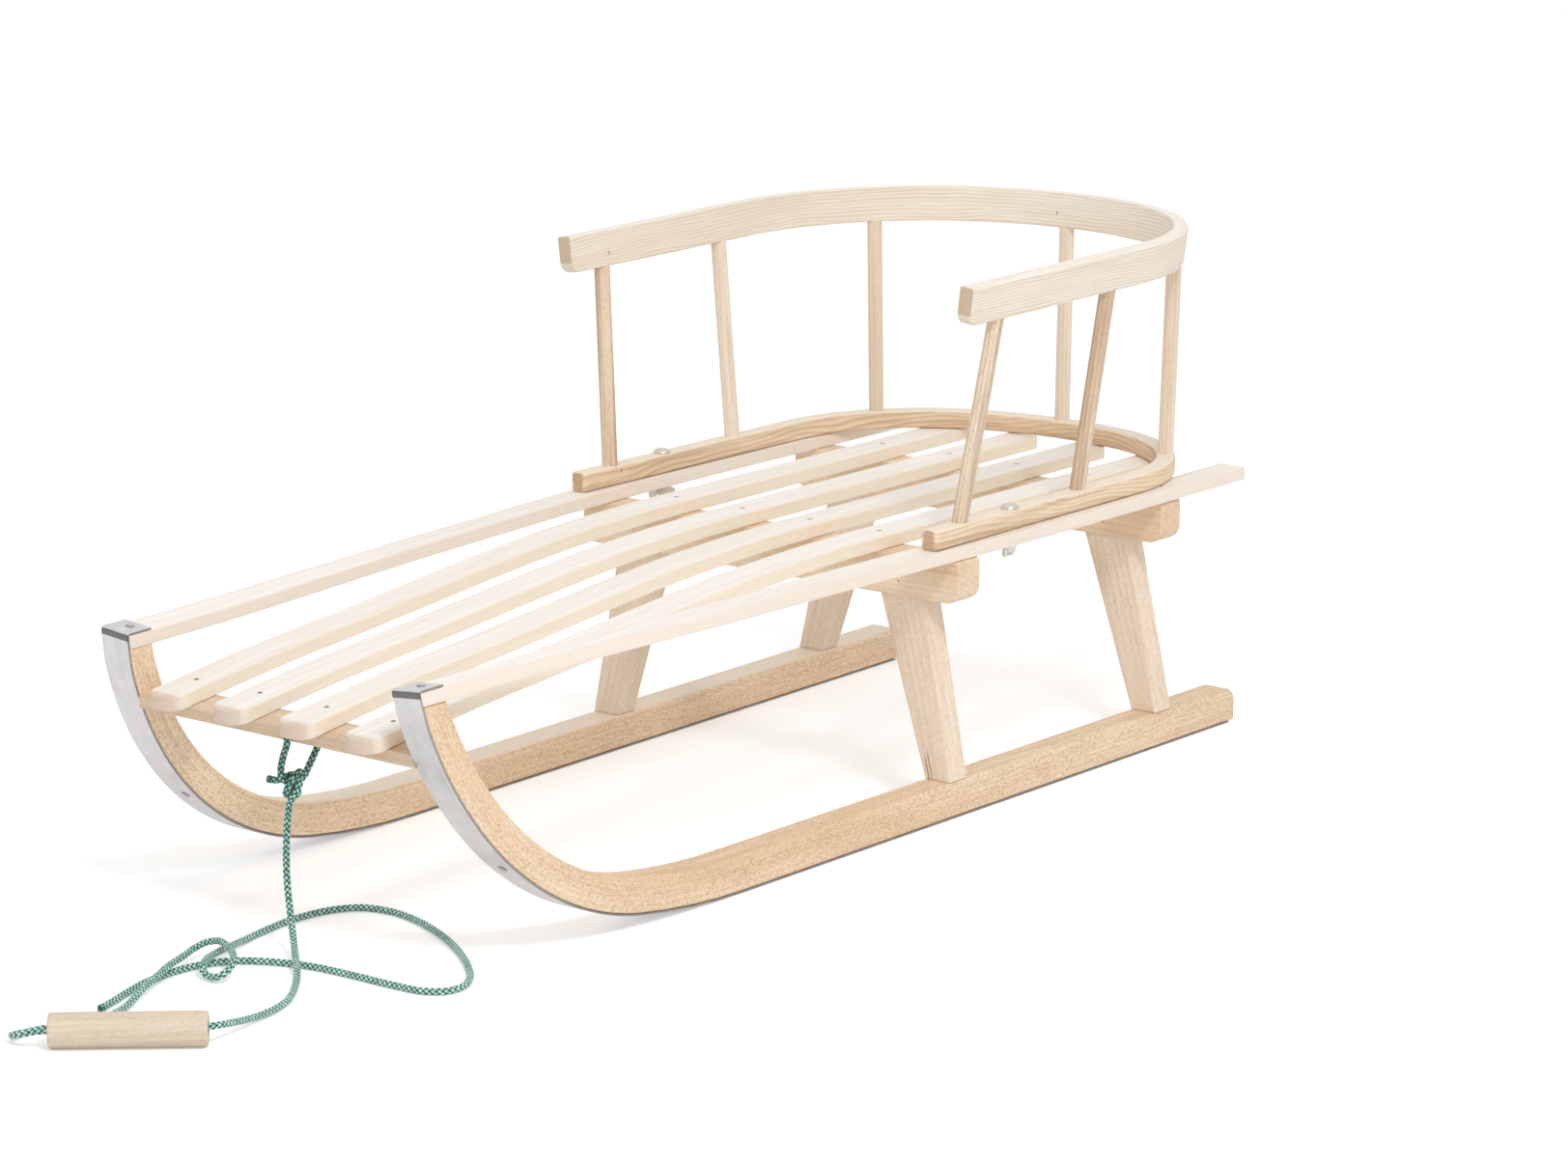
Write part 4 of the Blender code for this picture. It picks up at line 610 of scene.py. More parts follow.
def fitted_pair(name, rings, body, slot, finishes, shift=0.0, spread=0.0, **options):
    """The left and the right stick of a pair, each cut from its own stretch of grain."""
    for ending, side, finish in zip(("_left", "_right"), (1, -1), finishes):
        grain = shift + spread * side
        piece = fitted(name + ending, rings, body, slot, finish, side=side, shift=grain, **options)
    print(f"{name}: {len(piece.data.vertices)} points a side")


# %% [markdown]
# ## Finishes
#
# A finish is a tree of nodes, and most trees here use the same few steps:
# noise stretched along the grain, a soft threshold, and a mix of two
# colours. A small class gives these steps short names, so that each finish
# reads like a recipe.

# %% Steps of a finish


def shown(red, green, blue):
    """Colour as seen on a screen, from 0 to 255, as the light that it reflects."""
    parts = []
    for value in (red, green, blue):
        share = value / 255
        parts.append(share / 12.92 if share <= 0.04045 else ((share + 0.055) / 1.055) ** 2.4)
    return (*parts, 1.0)


class Finish:
    """A material with short names for the steps that its recipe uses."""

    def __init__(self, name, roughness, metallic=0.0):
        self.material = bpy.data.materials.new(name)
        self.material.use_nodes = True
        self.tree = self.material.node_tree
        self.shader = self.tree.nodes["Principled BSDF"]
        self.shader.inputs["Roughness"].default_value = roughness
        self.shader.inputs["Metallic"].default_value = metallic

    def node(self, kind, *values, **settings):
        made = self.tree.nodes.new(kind)
        for key, value in settings.items():
            setattr(made, key, value)
        for socket, value in zip(made.inputs, values):
            self.feed(socket, value)
        return made

    def feed(self, socket, value):
        if isinstance(value, bpy.types.NodeSocket):
            self.tree.links.new(value, socket)
        elif value is not None:
            socket.default_value = value

    def attribute(self, name, output="Vector"):
        return self.node("ShaderNodeAttribute", attribute_name=name).outputs[output]

    def place(self):
        return self.node("ShaderNodeTexCoord").outputs["Object"]

    def stretched(self, vector, factors):
        return self.node("ShaderNodeVectorMath", vector, factors, operation="MULTIPLY").outputs[0]

    def along(self, vector, weights):
        made = self.node("ShaderNodeVectorMath", vector, weights, operation="DOT_PRODUCT")
        return made.outputs["Value"]

    def noise(self, vector, factors, detail=2.0, rough=0.5):
        made = self.node("ShaderNodeTexNoise")
        self.feed(made.inputs["Vector"], self.stretched(vector, factors))
        made.inputs["Scale"].default_value = 1.0
        made.inputs["Detail"].default_value = detail
        made.inputs["Roughness"].default_value = rough
        return made.outputs[0]

    def sums(self, operation, *values):
        return self.node("ShaderNodeMath", *values, operation=operation).outputs[0]

    def soft(self, value, low, high, start=0.0, end=1.0):
        """Turns value from low to high into start to end, with soft shoulders."""
        made = self.node("ShaderNodeMapRange", value, low, high, start, end)
        made.interpolation_type = "SMOOTHSTEP"
        return made.outputs[0]

    def mixed(self, share, a, b, blend="MIX"):
        made = self.node("ShaderNodeMix", data_type="RGBA", blend_type=blend)
        self.feed(made.inputs[0], share)
        self.feed(made.inputs[6], a)
        self.feed(made.inputs[7], b)
        return made.outputs[2]

    def colour(self, value):
        self.feed(self.shader.inputs["Base Color"], value)

    def bump(self, height, strength, depth):
        made = self.node("ShaderNodeBump")
        made.inputs["Strength"].default_value = strength
        made.inputs["Distance"].default_value = depth
        self.feed(made.inputs["Height"], height)
        self.feed(self.shader.inputs["Normal"], made.outputs[0])


# %% [markdown]
# ### Wood
#
# Beech is even and pale, with short dark flecks where its rays are cut.
# Ash has long growth rings, pale and porous on one side of each line and
# dark on the other. Both recipes are the same steps with other numbers:
# a slow change of tone, long streaks, the rings, the flecks and, last, the
# fine fibres that also make the surface slightly rough.

# %% Wood recipe
MARK_BROWN = shown(104, 76, 56)


def wood(name, tones, rings, flecks, bands=0.0, skins=(), marks=(), reach=None, cut=0.45):
    """A kind of wood.

    tones: pale, warm and dark, as seen on a screen
    rings: (spacing, (along, across, up), (waviness, per metre), share)
    flecks: (share, density); bands: share of the broad darker streaks
    skins: (weights, low, high, colour, share) for faces painted in another tone, as painted light
    or shade
    marks: middles of small dark spots; reach: their half sizes
    cut: share of dark on cut ends
    """
    finish = Finish(name, 0.55)
    grain = finish.attribute("grain")
    pale, warm, dark = (shown(*tone) for tone in tones)
    slow = finish.noise(grain, (3.0, 30.0, 30.0), 2.0)
    streaks = finish.noise(grain, (8.0, 380.0, 380.0), 3.0, 0.6)
    blend = finish.sums("MULTIPLY_ADD", slow, 0.6, finish.sums("MULTIPLY", streaks, 0.4))
    colour = finish.mixed(finish.soft(blend, 0.36, 0.66), pale, warm)
    broad = finish.noise(grain, (5.0, 130.0, 130.0), 3.0, 0.6)
    colour = finish.mixed(finish.soft(broad, 0.46, 0.66, 0.0, bands), colour, dark)
    spacing, lie, (wave, per_metre), share = rings
    waves = finish.sums("MULTIPLY", finish.noise(grain, (per_metre, 14.0, 14.0), 2.0), wave)
    depth = finish.sums("ADD", finish.along(grain, lie), waves)
    ring = finish.sums("FRACT", finish.sums("DIVIDE", depth, spacing))
    line = finish.sums("MULTIPLY", finish.soft(ring, 0.25, 0.95), finish.soft(ring, 1.0, 0.95))
    broken = finish.soft(finish.noise(grain, (14.0, 200.0, 200.0), 2.0), 0.3, 0.6, 0.45, 1.0)
    line = finish.sums("MULTIPLY", line, broken)
    colour = finish.mixed(finish.sums("MULTIPLY", line, share), colour, dark)
    fleck_share, density = flecks
    patches = finish.noise(grain, (22.0, 90.0, 90.0), 1.0)
    spots = finish.noise(grain, (330.0, 1300.0, 1100.0), 1.0)
    fleck = finish.soft(finish.sums("MULTIPLY_ADD", patches, 0.20, spots), density, density + 0.10)
    colour = finish.mixed(finish.sums("MULTIPLY", fleck, fleck_share), colour, dark)
    for weights, low, high, skin, skin_share in skins:
        where = finish.soft(finish.along(grain, weights), low, high, 0.0, skin_share)
        colour = finish.mixed(where, colour, skin)
    ends = finish.soft(finish.attribute("end_cut", "Fac"), 0.2, 0.8, 0.0, cut)
    colour = finish.mixed(ends, colour, dark)
    for middle in marks:
        apart = finish.node("ShaderNodeVectorMath", grain, middle, operation="SUBTRACT").outputs[0]
        apart = finish.stretched(apart, tuple(1 / part for part in reach))
        far = finish.node("ShaderNodeVectorMath", apart, operation="LENGTH").outputs["Value"]
        colour = finish.mixed(finish.soft(far, 1.0, 0.5, 0.0, 0.9), colour, MARK_BROWN)
    fibres = finish.noise(grain, (60.0, 3200.0, 3200.0), 2.0, 0.7)
    shade = finish.soft(fibres, 0.25, 0.75, 0.93, 1.05)
    shades = finish.node("ShaderNodeCombineColor", shade, shade, shade).outputs[0]
    finish.colour(finish.mixed(1.0, colour, shades, "MULTIPLY"))
    finish.feed(finish.shader.inputs["Roughness"], finish.soft(fibres, 0.2, 0.8, 0.49, 0.65))
    height = finish.sums("SUBTRACT", fibres, finish.sums("MULTIPLY", fleck, 0.5))
    finish.bump(height, 0.25, 0.0002)
    return finish.material


# %% [markdown]
# ### Steel
#
# The shoes and the small metal parts are mild steel with a zinc coat. The
# coat is cloudy and the strip was rolled, so its gloss changes in long
# faint lines. The strip is painted darker along its rims and where it is
# creased at the tips, as painted shade. The nails' heads are rusty.

# %% Steel finish


def zinc(name, vector_of, light, dull):
    finish = Finish(name, 0.4, 0.75)
    vector = vector_of(finish)
    cloud = finish.noise(vector, (60.0, 90.0, 90.0), 3.0, 0.6)
    lines = finish.noise(vector, (12.0, 900.0, 900.0), 2.0)
    tone = finish.sums("MULTIPLY_ADD", cloud, 0.7, finish.sums("MULTIPLY", lines, 0.3))
    colour = finish.mixed(finish.soft(tone, 0.3, 0.7), shown(*dull), shown(*light))
    rough = finish.soft(tone, 0.3, 0.7, 0.34, 0.50)
    finish.feed(finish.shader.inputs["Roughness"], rough)
    finish.bump(lines, 0.12, 0.0001)
    finish.colour(colour)
    return finish, colour


SHOE_EDGE_SHADE = shown(84, 80, 80)
RIM_START, RIM_END = 0.0119, 0.0124
SHOE_TONES = ((218, 216, 216), (199, 196, 196))
strip, colour = zinc("zinc_strip", lambda steel: steel.attribute("grain"), *SHOE_TONES)
# Painted shade: the strip darkens along its rims and at the crease of the tip bend.
across = strip.node("ShaderNodeSeparateXYZ", strip.attribute("grain")).outputs[1]
rim_shade = strip.soft(strip.sums("ABSOLUTE", across), RIM_START, RIM_END, 0.0, 0.62)
crease = strip.soft(strip.attribute("end_cut", "Fac"), 0.4, 0.6, 0.0, 0.85)
strip.colour(strip.mixed(crease, strip.mixed(rim_shade, colour, SHOE_EDGE_SHADE), SHOE_EDGE_SHADE))
zinc_strip = strip.material

SMALL_METALS = {
    "zinc_small": ((206, 204, 206), (172, 170, 174)),
    "screw_head": ((196, 180, 162), (166, 148, 130)),
    "nail_head": ((166, 126, 98), (132, 94, 70)),
    "dull_bolt": ((222, 214, 206), (190, 180, 170)),
    "bright_nut": ((228, 224, 218), (202, 196, 190)),
}
small_metals = {
    name: zinc(name, Finish.place, light, dull)[0].material
    for name, (light, dull) in SMALL_METALS.items()
}

# %% [markdown]
# ### Braided cord
#
# The yarns are green. Each one has a painted highlight along its middle,
# where a glossy yarn would catch the light. Where a yarn dives under its
# neighbour it is in shade, so the colour darkens with depth. Use has
# bleached it in patches. The stretch near the floor is paler: painted
# light.

# %% Cord finish
ROPE_DEEP = shown(4, 42, 34)
ROPE_MELTED = shown(30, 84, 70)
PATCHES_PER_METRE = 360.0
FLOOR_PAINTED_LIGHT, FLOOR_LIGHT_FROM, FLOOR_LIGHT_TO = 0.26, 0.006, 0.030
PATCH_PALE = 0.36


def green_braid(name, yarn_tone, highlight_tone):
    """Braid of a dark yarn with painted highlights on its crowns; both tones are as seen on a
    screen.
    """
    cord = Finish(name, 0.62)
    yarn, pale = shown(*yarn_tone), shown(*highlight_tone)
    # Painted highlight: the crown of each yarn is mixed towards the pale tone.
    crown = cord.soft(cord.attribute("yarn_crown", "Fac"), 0.72, 0.97)
    height = cord.soft(cord.attribute("yarn_height", "Fac"), 0.15, 0.85)
    melt = cord.soft(cord.attribute("melt", "Fac"), 0.02, 0.12)
    patches = cord.noise(cord.place(), (PATCHES_PER_METRE,) * 3, 1.0)
    crown = cord.sums("MULTIPLY", crown, cord.soft(patches, 0.40, 0.60, 0.45, 1.0))
    # Painted light: the cord is paler the nearer it lies to the floor.
    lifted = cord.along(cord.place(), UP)
    spread = cord.soft(lifted, FLOOR_LIGHT_FROM, FLOOR_LIGHT_TO, FLOOR_PAINTED_LIGHT, 0.0)
    bleach_and_floor_light = cord.sums("ADD", cord.soft(patches, 0.42, 0.64, 0.0, PATCH_PALE), spread)
    yarn = cord.mixed(bleach_and_floor_light, yarn, pale)
    woven = cord.mixed(height, ROPE_DEEP, cord.mixed(crown, yarn, pale))
    cord.colour(cord.mixed(melt, woven, ROPE_MELTED))
    cord.shader.inputs["Sheen Weight"].default_value = 0.2
    return cord.material


braid_finish = green_braid("green_braid", (58, 146, 128), (212, 252, 244))
# Painted shade: the loop and the knot under the crossbar get a darker copy of the braid.
shaded_braid_finish = green_braid("green_braid_worn", (30, 104, 86), (168, 228, 212))
pull_cord.data.materials.append(braid_finish)
tie_cord.data.materials.append(shaded_braid_finish)

# %% [markdown]
# ## Runners and shoes
#
# Each runner is one stick from its rounded heel to the cut under the outer
# slat. The steel shoe is a flat strip along its sole. At the tip it is
# bent back over the slat and screwed down, which also holds the slat.

# %% Bend the runners
BOLSTER_Y = {"front": 0.555727, "rear": 0.821727}
RUNNER_SHIFT = 0.7
PIN = (0.0010, 0.0010, 0.0010)
PIN_HEIGHT = 0.0190
RUNNER_TOP = WOOD_BOTTOM + RUNNER_HEIGHT
RUNNER_TONES = ((242, 219, 190), (230, 201, 166), (182, 140, 102))
RUNNER_CORNERS = (0.0015, 0.0015, 0.0025, 0.0025)
RUNNER_CHAMFER = 0.0008


def runner_finish(name, side, lift, *skins):
    """Beech with a pin into each leg, on the inner face; lift lightens the pale and warm tones as
    painted light.
    """
    starts = [CURL_START_Y - y + RUNNER_SHIFT * side for y in BOLSTER_Y.values()]
    return wood(
        name,
        [[part + rise for part in tone] for tone, rise in zip(RUNNER_TONES, (lift, lift, 0))],
        rings=(0.0042, (0.004, 0.30, 1.0), (0.014, 4.0), 0.16),
        flecks=(0.48, 0.61),
        bands=0.16,
        skins=skins,
        marks=[(start, -RUNNER_WIDTH / 2, PIN_HEIGHT) for start in starts],
        reach=PIN,
    )


# Painted light: the far runner's top face is paler and its tones are lifted by 10, as if more light
# fell on it.
PAINTED_TOP_LIGHT = (UP, RUNNER_TOP - 0.0022, RUNNER_TOP - 0.0004, shown(243, 229, 213), 0.8)
beech_runners = (
    runner_finish("beech_runner_near", 1, 0),
    runner_finish("beech_runner_far", -1, 10, PAINTED_TOP_LIGHT),
)


def runner_ring(length, outline):
    return [(runner_spot(length, u, n), (length, u, n)) for u, n in outline]


def runner_rings():
    half = RUNNER_WIDTH / 2
    rear = CURL_START_Y - RUNNER_REAR
    first, *rest = easing(RUNNER_END_ROUNDING, 7)
    outline = rounded(half, WOOD_BOTTOM, RUNNER_TOP - first[1], RUNNER_CORNERS)
    eased = shrunk(outline, RUNNER_CHAMFER)
    rings = [runner_ring(rear, eased), runner_ring(rear + CHAMFER, outline)]
    for far, inset in rest:
        outline = rounded(half, WOOD_BOTTOM, RUNNER_TOP - inset, RUNNER_CORNERS)
        rings.append(runner_ring(rear + far, outline))
    plane_point, normal = tip_plane(-TOUCH_GAP)
    for length in curl_lengths():
        height = wood_height(length)
        outline = rounded(half, WOOD_BOTTOM, WOOD_BOTTOM + height, RUNNER_CORNERS)
        ring = []
        for u, n in outline:
            up = WOOD_BOTTOM + (n - WOOD_BOTTOM) * RUNNER_HEIGHT / height
            ring.append((runner_spot(length, u, n), (length, u, up)))
        if max((point - plane_point).dot(normal) for point, _ in ring) < 0:
            rings.append(ring)
    ends = []
    for point, (length, u, n) in rings[-1]:
        cut = slid_onto(point, TIP_FORWARD, plane_point, normal)
        ends.append((cut, (length + (cut - point).length, u, n)))
    return rings + [ends]


fitted_pair("runner", runner_rings(), "sled", "beech_runner", beech_runners, spread=RUNNER_SHIFT)

# %% Wrap the steel shoes
# Rings before the bend and the bend's own rings each carry a share of painted shade at the crease.
CREASE_RINGS = ((0.0034, 0.0), (0.0026, 0.0), (0.0020, 1.0))
BEND_SHADE = [1.0, 1.0, 1.0, 0.8, 0.5, 0.2, 0.0, 0.0, 0.0, 0.0]
BEND_STEPS = 8
BEND_START = 0.006
BEND_GRAIN = 0.02
SHOE_SHIFT = 0.4


def shoe_rings():
    """Rings of the strip up to its bend, round it and along the flap, and their painted shade at
    the crease.
    """
    outline = rounded(RUNNER_WIDTH / 2, 0.0, SHOE_THICKNESS, (0.0003,) * 4, 1)
    plane_point, normal = tip_plane(SLAT_THICKNESS + TOUCH_GAP)
    back = TIP_OUTWARD.cross(normal).normalized() * -1
    bend = TIP_FORWARD.angle(back)
    tangent = SHOE_BEND_RADIUS * tan(bend / 2)
    rear = CURL_START_Y - RUNNER_REAR + SHOE_REAR_INSET
    lengths = [rear] + [length for length in curl_lengths() if length < tip_length - BEND_START]
    rings = [runner_ring(length, outline) for length in lengths]
    bends = []
    for k in range(BEND_STEPS + 1):
        swing = bend * k / BEND_STEPS
        spoke = TIP_FORWARD * sin(swing) - TIP_INWARD * cos(swing)
        ring = []
        for u, n in outline:
            start = TIP_POINT + TIP_OUTWARD * u + TIP_INWARD * SHOE_THICKNESS
            crease = slid_onto(start, TIP_FORWARD, plane_point, normal)
            centre = crease - TIP_FORWARD * tangent + TIP_INWARD * SHOE_BEND_RADIUS
            point = centre + spoke * (SHOE_BEND_RADIUS + SHOE_THICKNESS - n)
            ring.append((point, (tip_length + BEND_GRAIN * swing, u, n)))
        bends.append(ring)
    for distance, _ in CREASE_RINGS:
        rings.append([(point - TIP_FORWARD * distance, grain) for point, grain in bends[0]])
    run = SHOE_FLAP - SHOE_BEND_RADIUS
    flap = [(point + back * run, (along + run, u, n)) for point, (along, u, n) in bends[-1]]
    crease_shade = [0.0] * len(lengths) + [shaded for _, shaded in CREASE_RINGS] + BEND_SHADE
    return rings + bends + [flap], crease_shade


rings, crease_shade = shoe_rings()
fitted_pair(
    "shoe", rings, "sled", "galvanised_steel", (zinc_strip,) * 2,
    kind="_strip", spread=SHOE_SHIFT, cuts=crease_shade,
)

# %% [markdown]
# ## Legs and bolsters
#
# The four legs taper to their feet and splay outwards to the runners. A
# bolster with rounded ends lies across each pair. Pins hold the legs'
# tenons, and the foot of one leg has split a little.

# %% Legs
LEG_HEIGHT = 0.135
LEG_THICKNESS = 0.0215
LEG_FOOT_WIDTH = 0.023
LEG_HEAD_WIDTH = 0.0388
LEG_HEAD_OUTER = 0.1450
LEG_FOOT_Z = WOOD_BOTTOM + RUNNER_HEIGHT + TOUCH_GAP
LEG_EDGE = 0.0009
LEG_SHIFT = 0.35
SPLIT_REACH = (0.0150, 0.0006, 0.0030)
LEG_STOPS = (0.0, 0.006, 0.25, 0.5, 0.75, 1.0)
SPLIT_SPOTS = ((0.010, -0.0046), (0.006, -0.0076))
split_foot = BOLSTER_Y["front"] + LEG_SHIFT + LEG_FOOT_Z
beech_leg = wood(
    "beech_leg",
    ((243, 228, 209), (234, 213, 189), (190, 154, 122)),
    rings=(0.0050, (0.010, 0.8, 0.6), (0.020, 3.0), 0.15),
    flecks=(0.34, 0.64),
    bands=0.10,
    marks=[(split_foot + z, u, -LEG_THICKNESS / 2) for z, u in SPLIT_SPOTS],
    reach=SPLIT_REACH,
)


def leg_rings(y):
    foot, head = runner_middle(y), LEG_HEAD_OUTER - LEG_HEAD_WIDTH / 2
    rings = []
    for share in LEG_STOPS:
        x = foot + (head - foot) * share
        half = (LEG_FOOT_WIDTH + (LEG_HEAD_WIDTH - LEG_FOOT_WIDTH) * share) / 2
        z = LEG_FOOT_Z + LEG_HEIGHT * share
        outline = rounded(half, -LEG_THICKNESS / 2, LEG_THICKNESS / 2, (LEG_EDGE,) * 4)
        rings.append([(Vector((x + u, y + v, z)), (z, u, v)) for u, v in outline])
    return rings


# The foot's end-cut mark also darkens the first 0.8 mm of the leg's sides, as painted shade where
# the leg stands on the runner.
cuts = [1.0] + [0.0] * (len(LEG_STOPS) - 1)
for place, y in BOLSTER_Y.items():
    fitted_pair(
        "leg_" + place, leg_rings(y), "sled", "beech_leg", (beech_leg,) * 2,
        shift=y, spread=LEG_SHIFT, cuts=cuts,
    )

# %% Bolsters
BOLSTER_HALF_LENGTH = 0.179
BOLSTER_DEPTH = 0.0266
BOLSTER_UNDERSIDE = LEG_FOOT_Z + LEG_HEIGHT + TOUCH_GAP
BOLSTER_TOP = SLAT_UNDERSIDE - TOUCH_GAP
BOLSTER_EDGE = 0.0013
BOLSTER_CORNERS = (0.012, 0.012, 0.004, 0.004)
BOLSTER_SHIFT = 2.0
BOLSTER_PIN_X = 0.1245
BOLSTER_PIN_DROP = 0.0215
pins = [
    (x + BOLSTER_SHIFT * y, -BOLSTER_DEPTH / 2, -BOLSTER_PIN_DROP)
    for y in BOLSTER_Y.values()
    for x in (-BOLSTER_PIN_X, BOLSTER_PIN_X)
]
beech_bolster = wood(
    "beech_bolster",
    ((240, 218, 191), (230, 201, 168), (182, 140, 102)),
    rings=(0.0050, (0.010, 0.5, 0.9), (0.020, 3.0), 0.16),
    flecks=(0.22, 0.66),
    bands=0.16,
    marks=pins,
    reach=PIN,
)


def bolster_rings(y):
    faces = [(BOLSTER_DEPTH / 2 - far, inset) for far, inset in easing(BOLSTER_EDGE, 4)]
    rings = []
    for v, inset in [(-v, inset) for v, inset in faces] + faces[::-1]:
        corners = [radius - inset for radius in BOLSTER_CORNERS]
        low, high = BOLSTER_UNDERSIDE + inset, BOLSTER_TOP - inset
        outline = rounded(BOLSTER_HALF_LENGTH - inset, low, high, corners, 8)
        rings.append([(Vector((u, y + v, z)), (u, v, z - BOLSTER_TOP)) for u, z in outline])
    return rings


for place, y in BOLSTER_Y.items():
    rings = bolster_rings(y)
    fitted("bolster_" + place, rings, "sled", "beech_leg", beech_bolster, shift=BOLSTER_SHIFT * y)
print("bolsters:", len(rings), "rings each")

# %% [markdown]
# ## Seat
#
# The crossbar is tenoned into both curls and carries the front ends of the
# four inner slats. These slats have rounded front corners and softened
# edges. Over the crossbar they are straight and lie flat on it. They are
# 29.5 mm wide and their tips reach 3 mm further forward than in CAD, where
# they were drawn too narrow. All tops lie a tenth of a millimetre below the
# heads of the screws and nails, as on wood that wears around its fixings.

# %% Crossbar
CROSSBAR_Y = 0.0265
CROSSBAR_DEPTH = 0.026
CROSSBAR_HEIGHT = 0.0095
CROSSBAR_FRONT = CROSSBAR_Y - CROSSBAR_DEPTH / 2 - 0.001
CROSSBAR_BACK = CROSSBAR_Y + CROSSBAR_DEPTH / 2 + 0.003
CROSSBAR_RISE = inner_underside(CROSSBAR_BACK) - inner_underside(CROSSBAR_FRONT)
CROSSBAR_SLOPE = CROSSBAR_RISE / (CROSSBAR_BACK - CROSSBAR_FRONT)
CROSSBAR_STRETCH = sqrt(1 + CROSSBAR_SLOPE ** 2)
CROSSBAR_ALONG = Vector((0.0, 1.0, CROSSBAR_SLOPE)).normalized()
CROSSBAR_UP = ACROSS.cross(CROSSBAR_ALONG)
SLAT_EDGE = 0.0007
HEAD_PROUD = 0.0001
SLAT_TOP = SLAT_THICKNESS - HEAD_PROUD
EDGES = (SLAT_EDGE,) * 4


def flat_underside(y):
    return inner_underside(CROSSBAR_FRONT) + (y - CROSSBAR_FRONT) * CROSSBAR_SLOPE


def crossbar_rings():
    """The bar between the curls, cut to the slant of their inner faces."""
    seat = Vector((0.0, CROSSBAR_Y, flat_underside(CROSSBAR_Y)))
    middle = seat - CROSSBAR_UP * (TOUCH_GAP + CROSSBAR_HEIGHT / 2)
    n = WOOD_BOTTOM + (RUNNER_HEIGHT + RUNNER_TIP_HEIGHT) / 4
    length = length_at_height(middle.z, n)
    outward = runner_frame(length)[2]
    face = runner_spot(length, -RUNNER_WIDTH / 2, n)
    outline = rounded(CROSSBAR_DEPTH / 2, -CROSSBAR_HEIGHT / 2, CROSSBAR_HEIGHT / 2, EDGES)
    rings = []
    for side in (-1, 1):
        ring = []
        for u, v in outline:
            point = slid_onto(middle + CROSSBAR_ALONG * u + CROSSBAR_UP * v, ACROSS, face, outward)
            point.x *= side
            ring.append((point, (point.x, u, v)))
        rings.append(ring)
    return rings


# The crossbar's tones are darker than the bolsters': partly its own wood and partly painted shade
# of the slats above it.
beech_crossbar = wood(
    "beech_crossbar",
    ((226, 206, 182), (216, 190, 161), (171, 132, 98)),
    rings=(0.0060, (0.010, 0.5, 0.9), (0.030, 3.0), 0.14),
    flecks=(0.20, 0.64),
    bands=0.08,
)
bar = fitted("front_crossbar", crossbar_rings(), "sled", "beech_slat", beech_crossbar)
print(f"crossbar: {bar.dimensions.x * 1000:.0f} mm between the curls")

# %% Inner slats
SIDE_SHADE_DEPTH, SIDE_SHADE_CLEAR = 0.0017, 0.0008
CORNER_STEPS, EASED_RINGS, END_STEPS = 8, 2, 4
FIRST_STOP, STOP_SPACING, STOP_COUNT = 0.045, 0.0175, 29
REAR_STOPS = [0.62, 0.70, 0.80, 0.88]
SLAT_STOPS = [FIRST_STOP + STOP_SPACING * k for k in range(STOP_COUNT)] + REAR_STOPS
INNER_SLAT_SHIFTS, INNER_SLAT_SPREAD = (0.0, 1.3), 0.6
OUTER_SLAT_SHIFT, OUTER_SLAT_SPREAD = 2.9, 0.5


def slat_finish(name, shaded_side, half):
    # Painted shade: both side faces of a slat get a warmer, darker tone than its top.
    skins = [
        ((0.0, way, 0.0), half - SIDE_SHADE_DEPTH, half - SIDE_SHADE_CLEAR, shown(*shaded_side), 0.7)
        for way in (1.0, -1.0)
    ]
    return wood(
        name,
        ((248, 243, 237), (243, 234, 223), (202, 170, 140)),
        rings=(0.0060, (0.010, 0.5, 0.9), (0.030, 3.0), 0.12),
        flecks=(0.16, 0.68),
        bands=0.06,
        skins=skins,
        cut=0.62,
    )


def rear_stops():
    """Places and insets of the rings round a slat's rear end."""
    return [(SLAT_REAR - far, inset) for far, inset in easing(SLAT_END_ROUNDING, END_STEPS)[::-1]]


def inner_slat_rings(ends):
    corner = easing(INNER_SLAT_CORNER, CORNER_STEPS)
    stops = [(far - INNER_SLAT_REACH, inset) for far, inset in corner]
    stops += [(y, 0.0) for y in (CROSSBAR_FRONT, CROSSBAR_BACK, *SLAT_STOPS)] + rear_stops()
    rings = []
    for k, (y, inset) in enumerate(stops):
        z = flat_underside(y) if y < CROSSBAR_FRONT else inner_underside(y)
        lift = CROSSBAR_STRETCH if y <= CROSSBAR_BACK else 1.0
        x = ends[0] + (ends[1] - ends[0]) * y / SLAT_REAR
        outline = rounded(INNER_SLAT_WIDTH / 2 - inset, 0.0, SLAT_TOP, EDGES)
        if k < EASED_RINGS:
            outline = shrunk(outline)
        rings.append([(Vector((x + u, y, z + v * lift)), (y, u, v)) for u, v in outline])
    cuts = [1 - far / INNER_SLAT_CORNER for far, _ in corner]
    return rings, cuts + [0.0] * (len(stops) - len(cuts) - 1) + [1.0]


beech_slat = slat_finish("beech_slat", (242, 227, 203), INNER_SLAT_WIDTH / 2)
for place, ends, shift in zip(("middle", "inner"), INNER_SLAT_X, INNER_SLAT_SHIFTS):
    rings, cuts = inner_slat_rings(ends)
    fitted_pair(
        "slat_" + place, rings, "sled", "beech_slat", (beech_slat,) * 2,
        shift=shift, spread=INNER_SLAT_SPREAD, cuts=cuts,
    )

# %% Outer slats


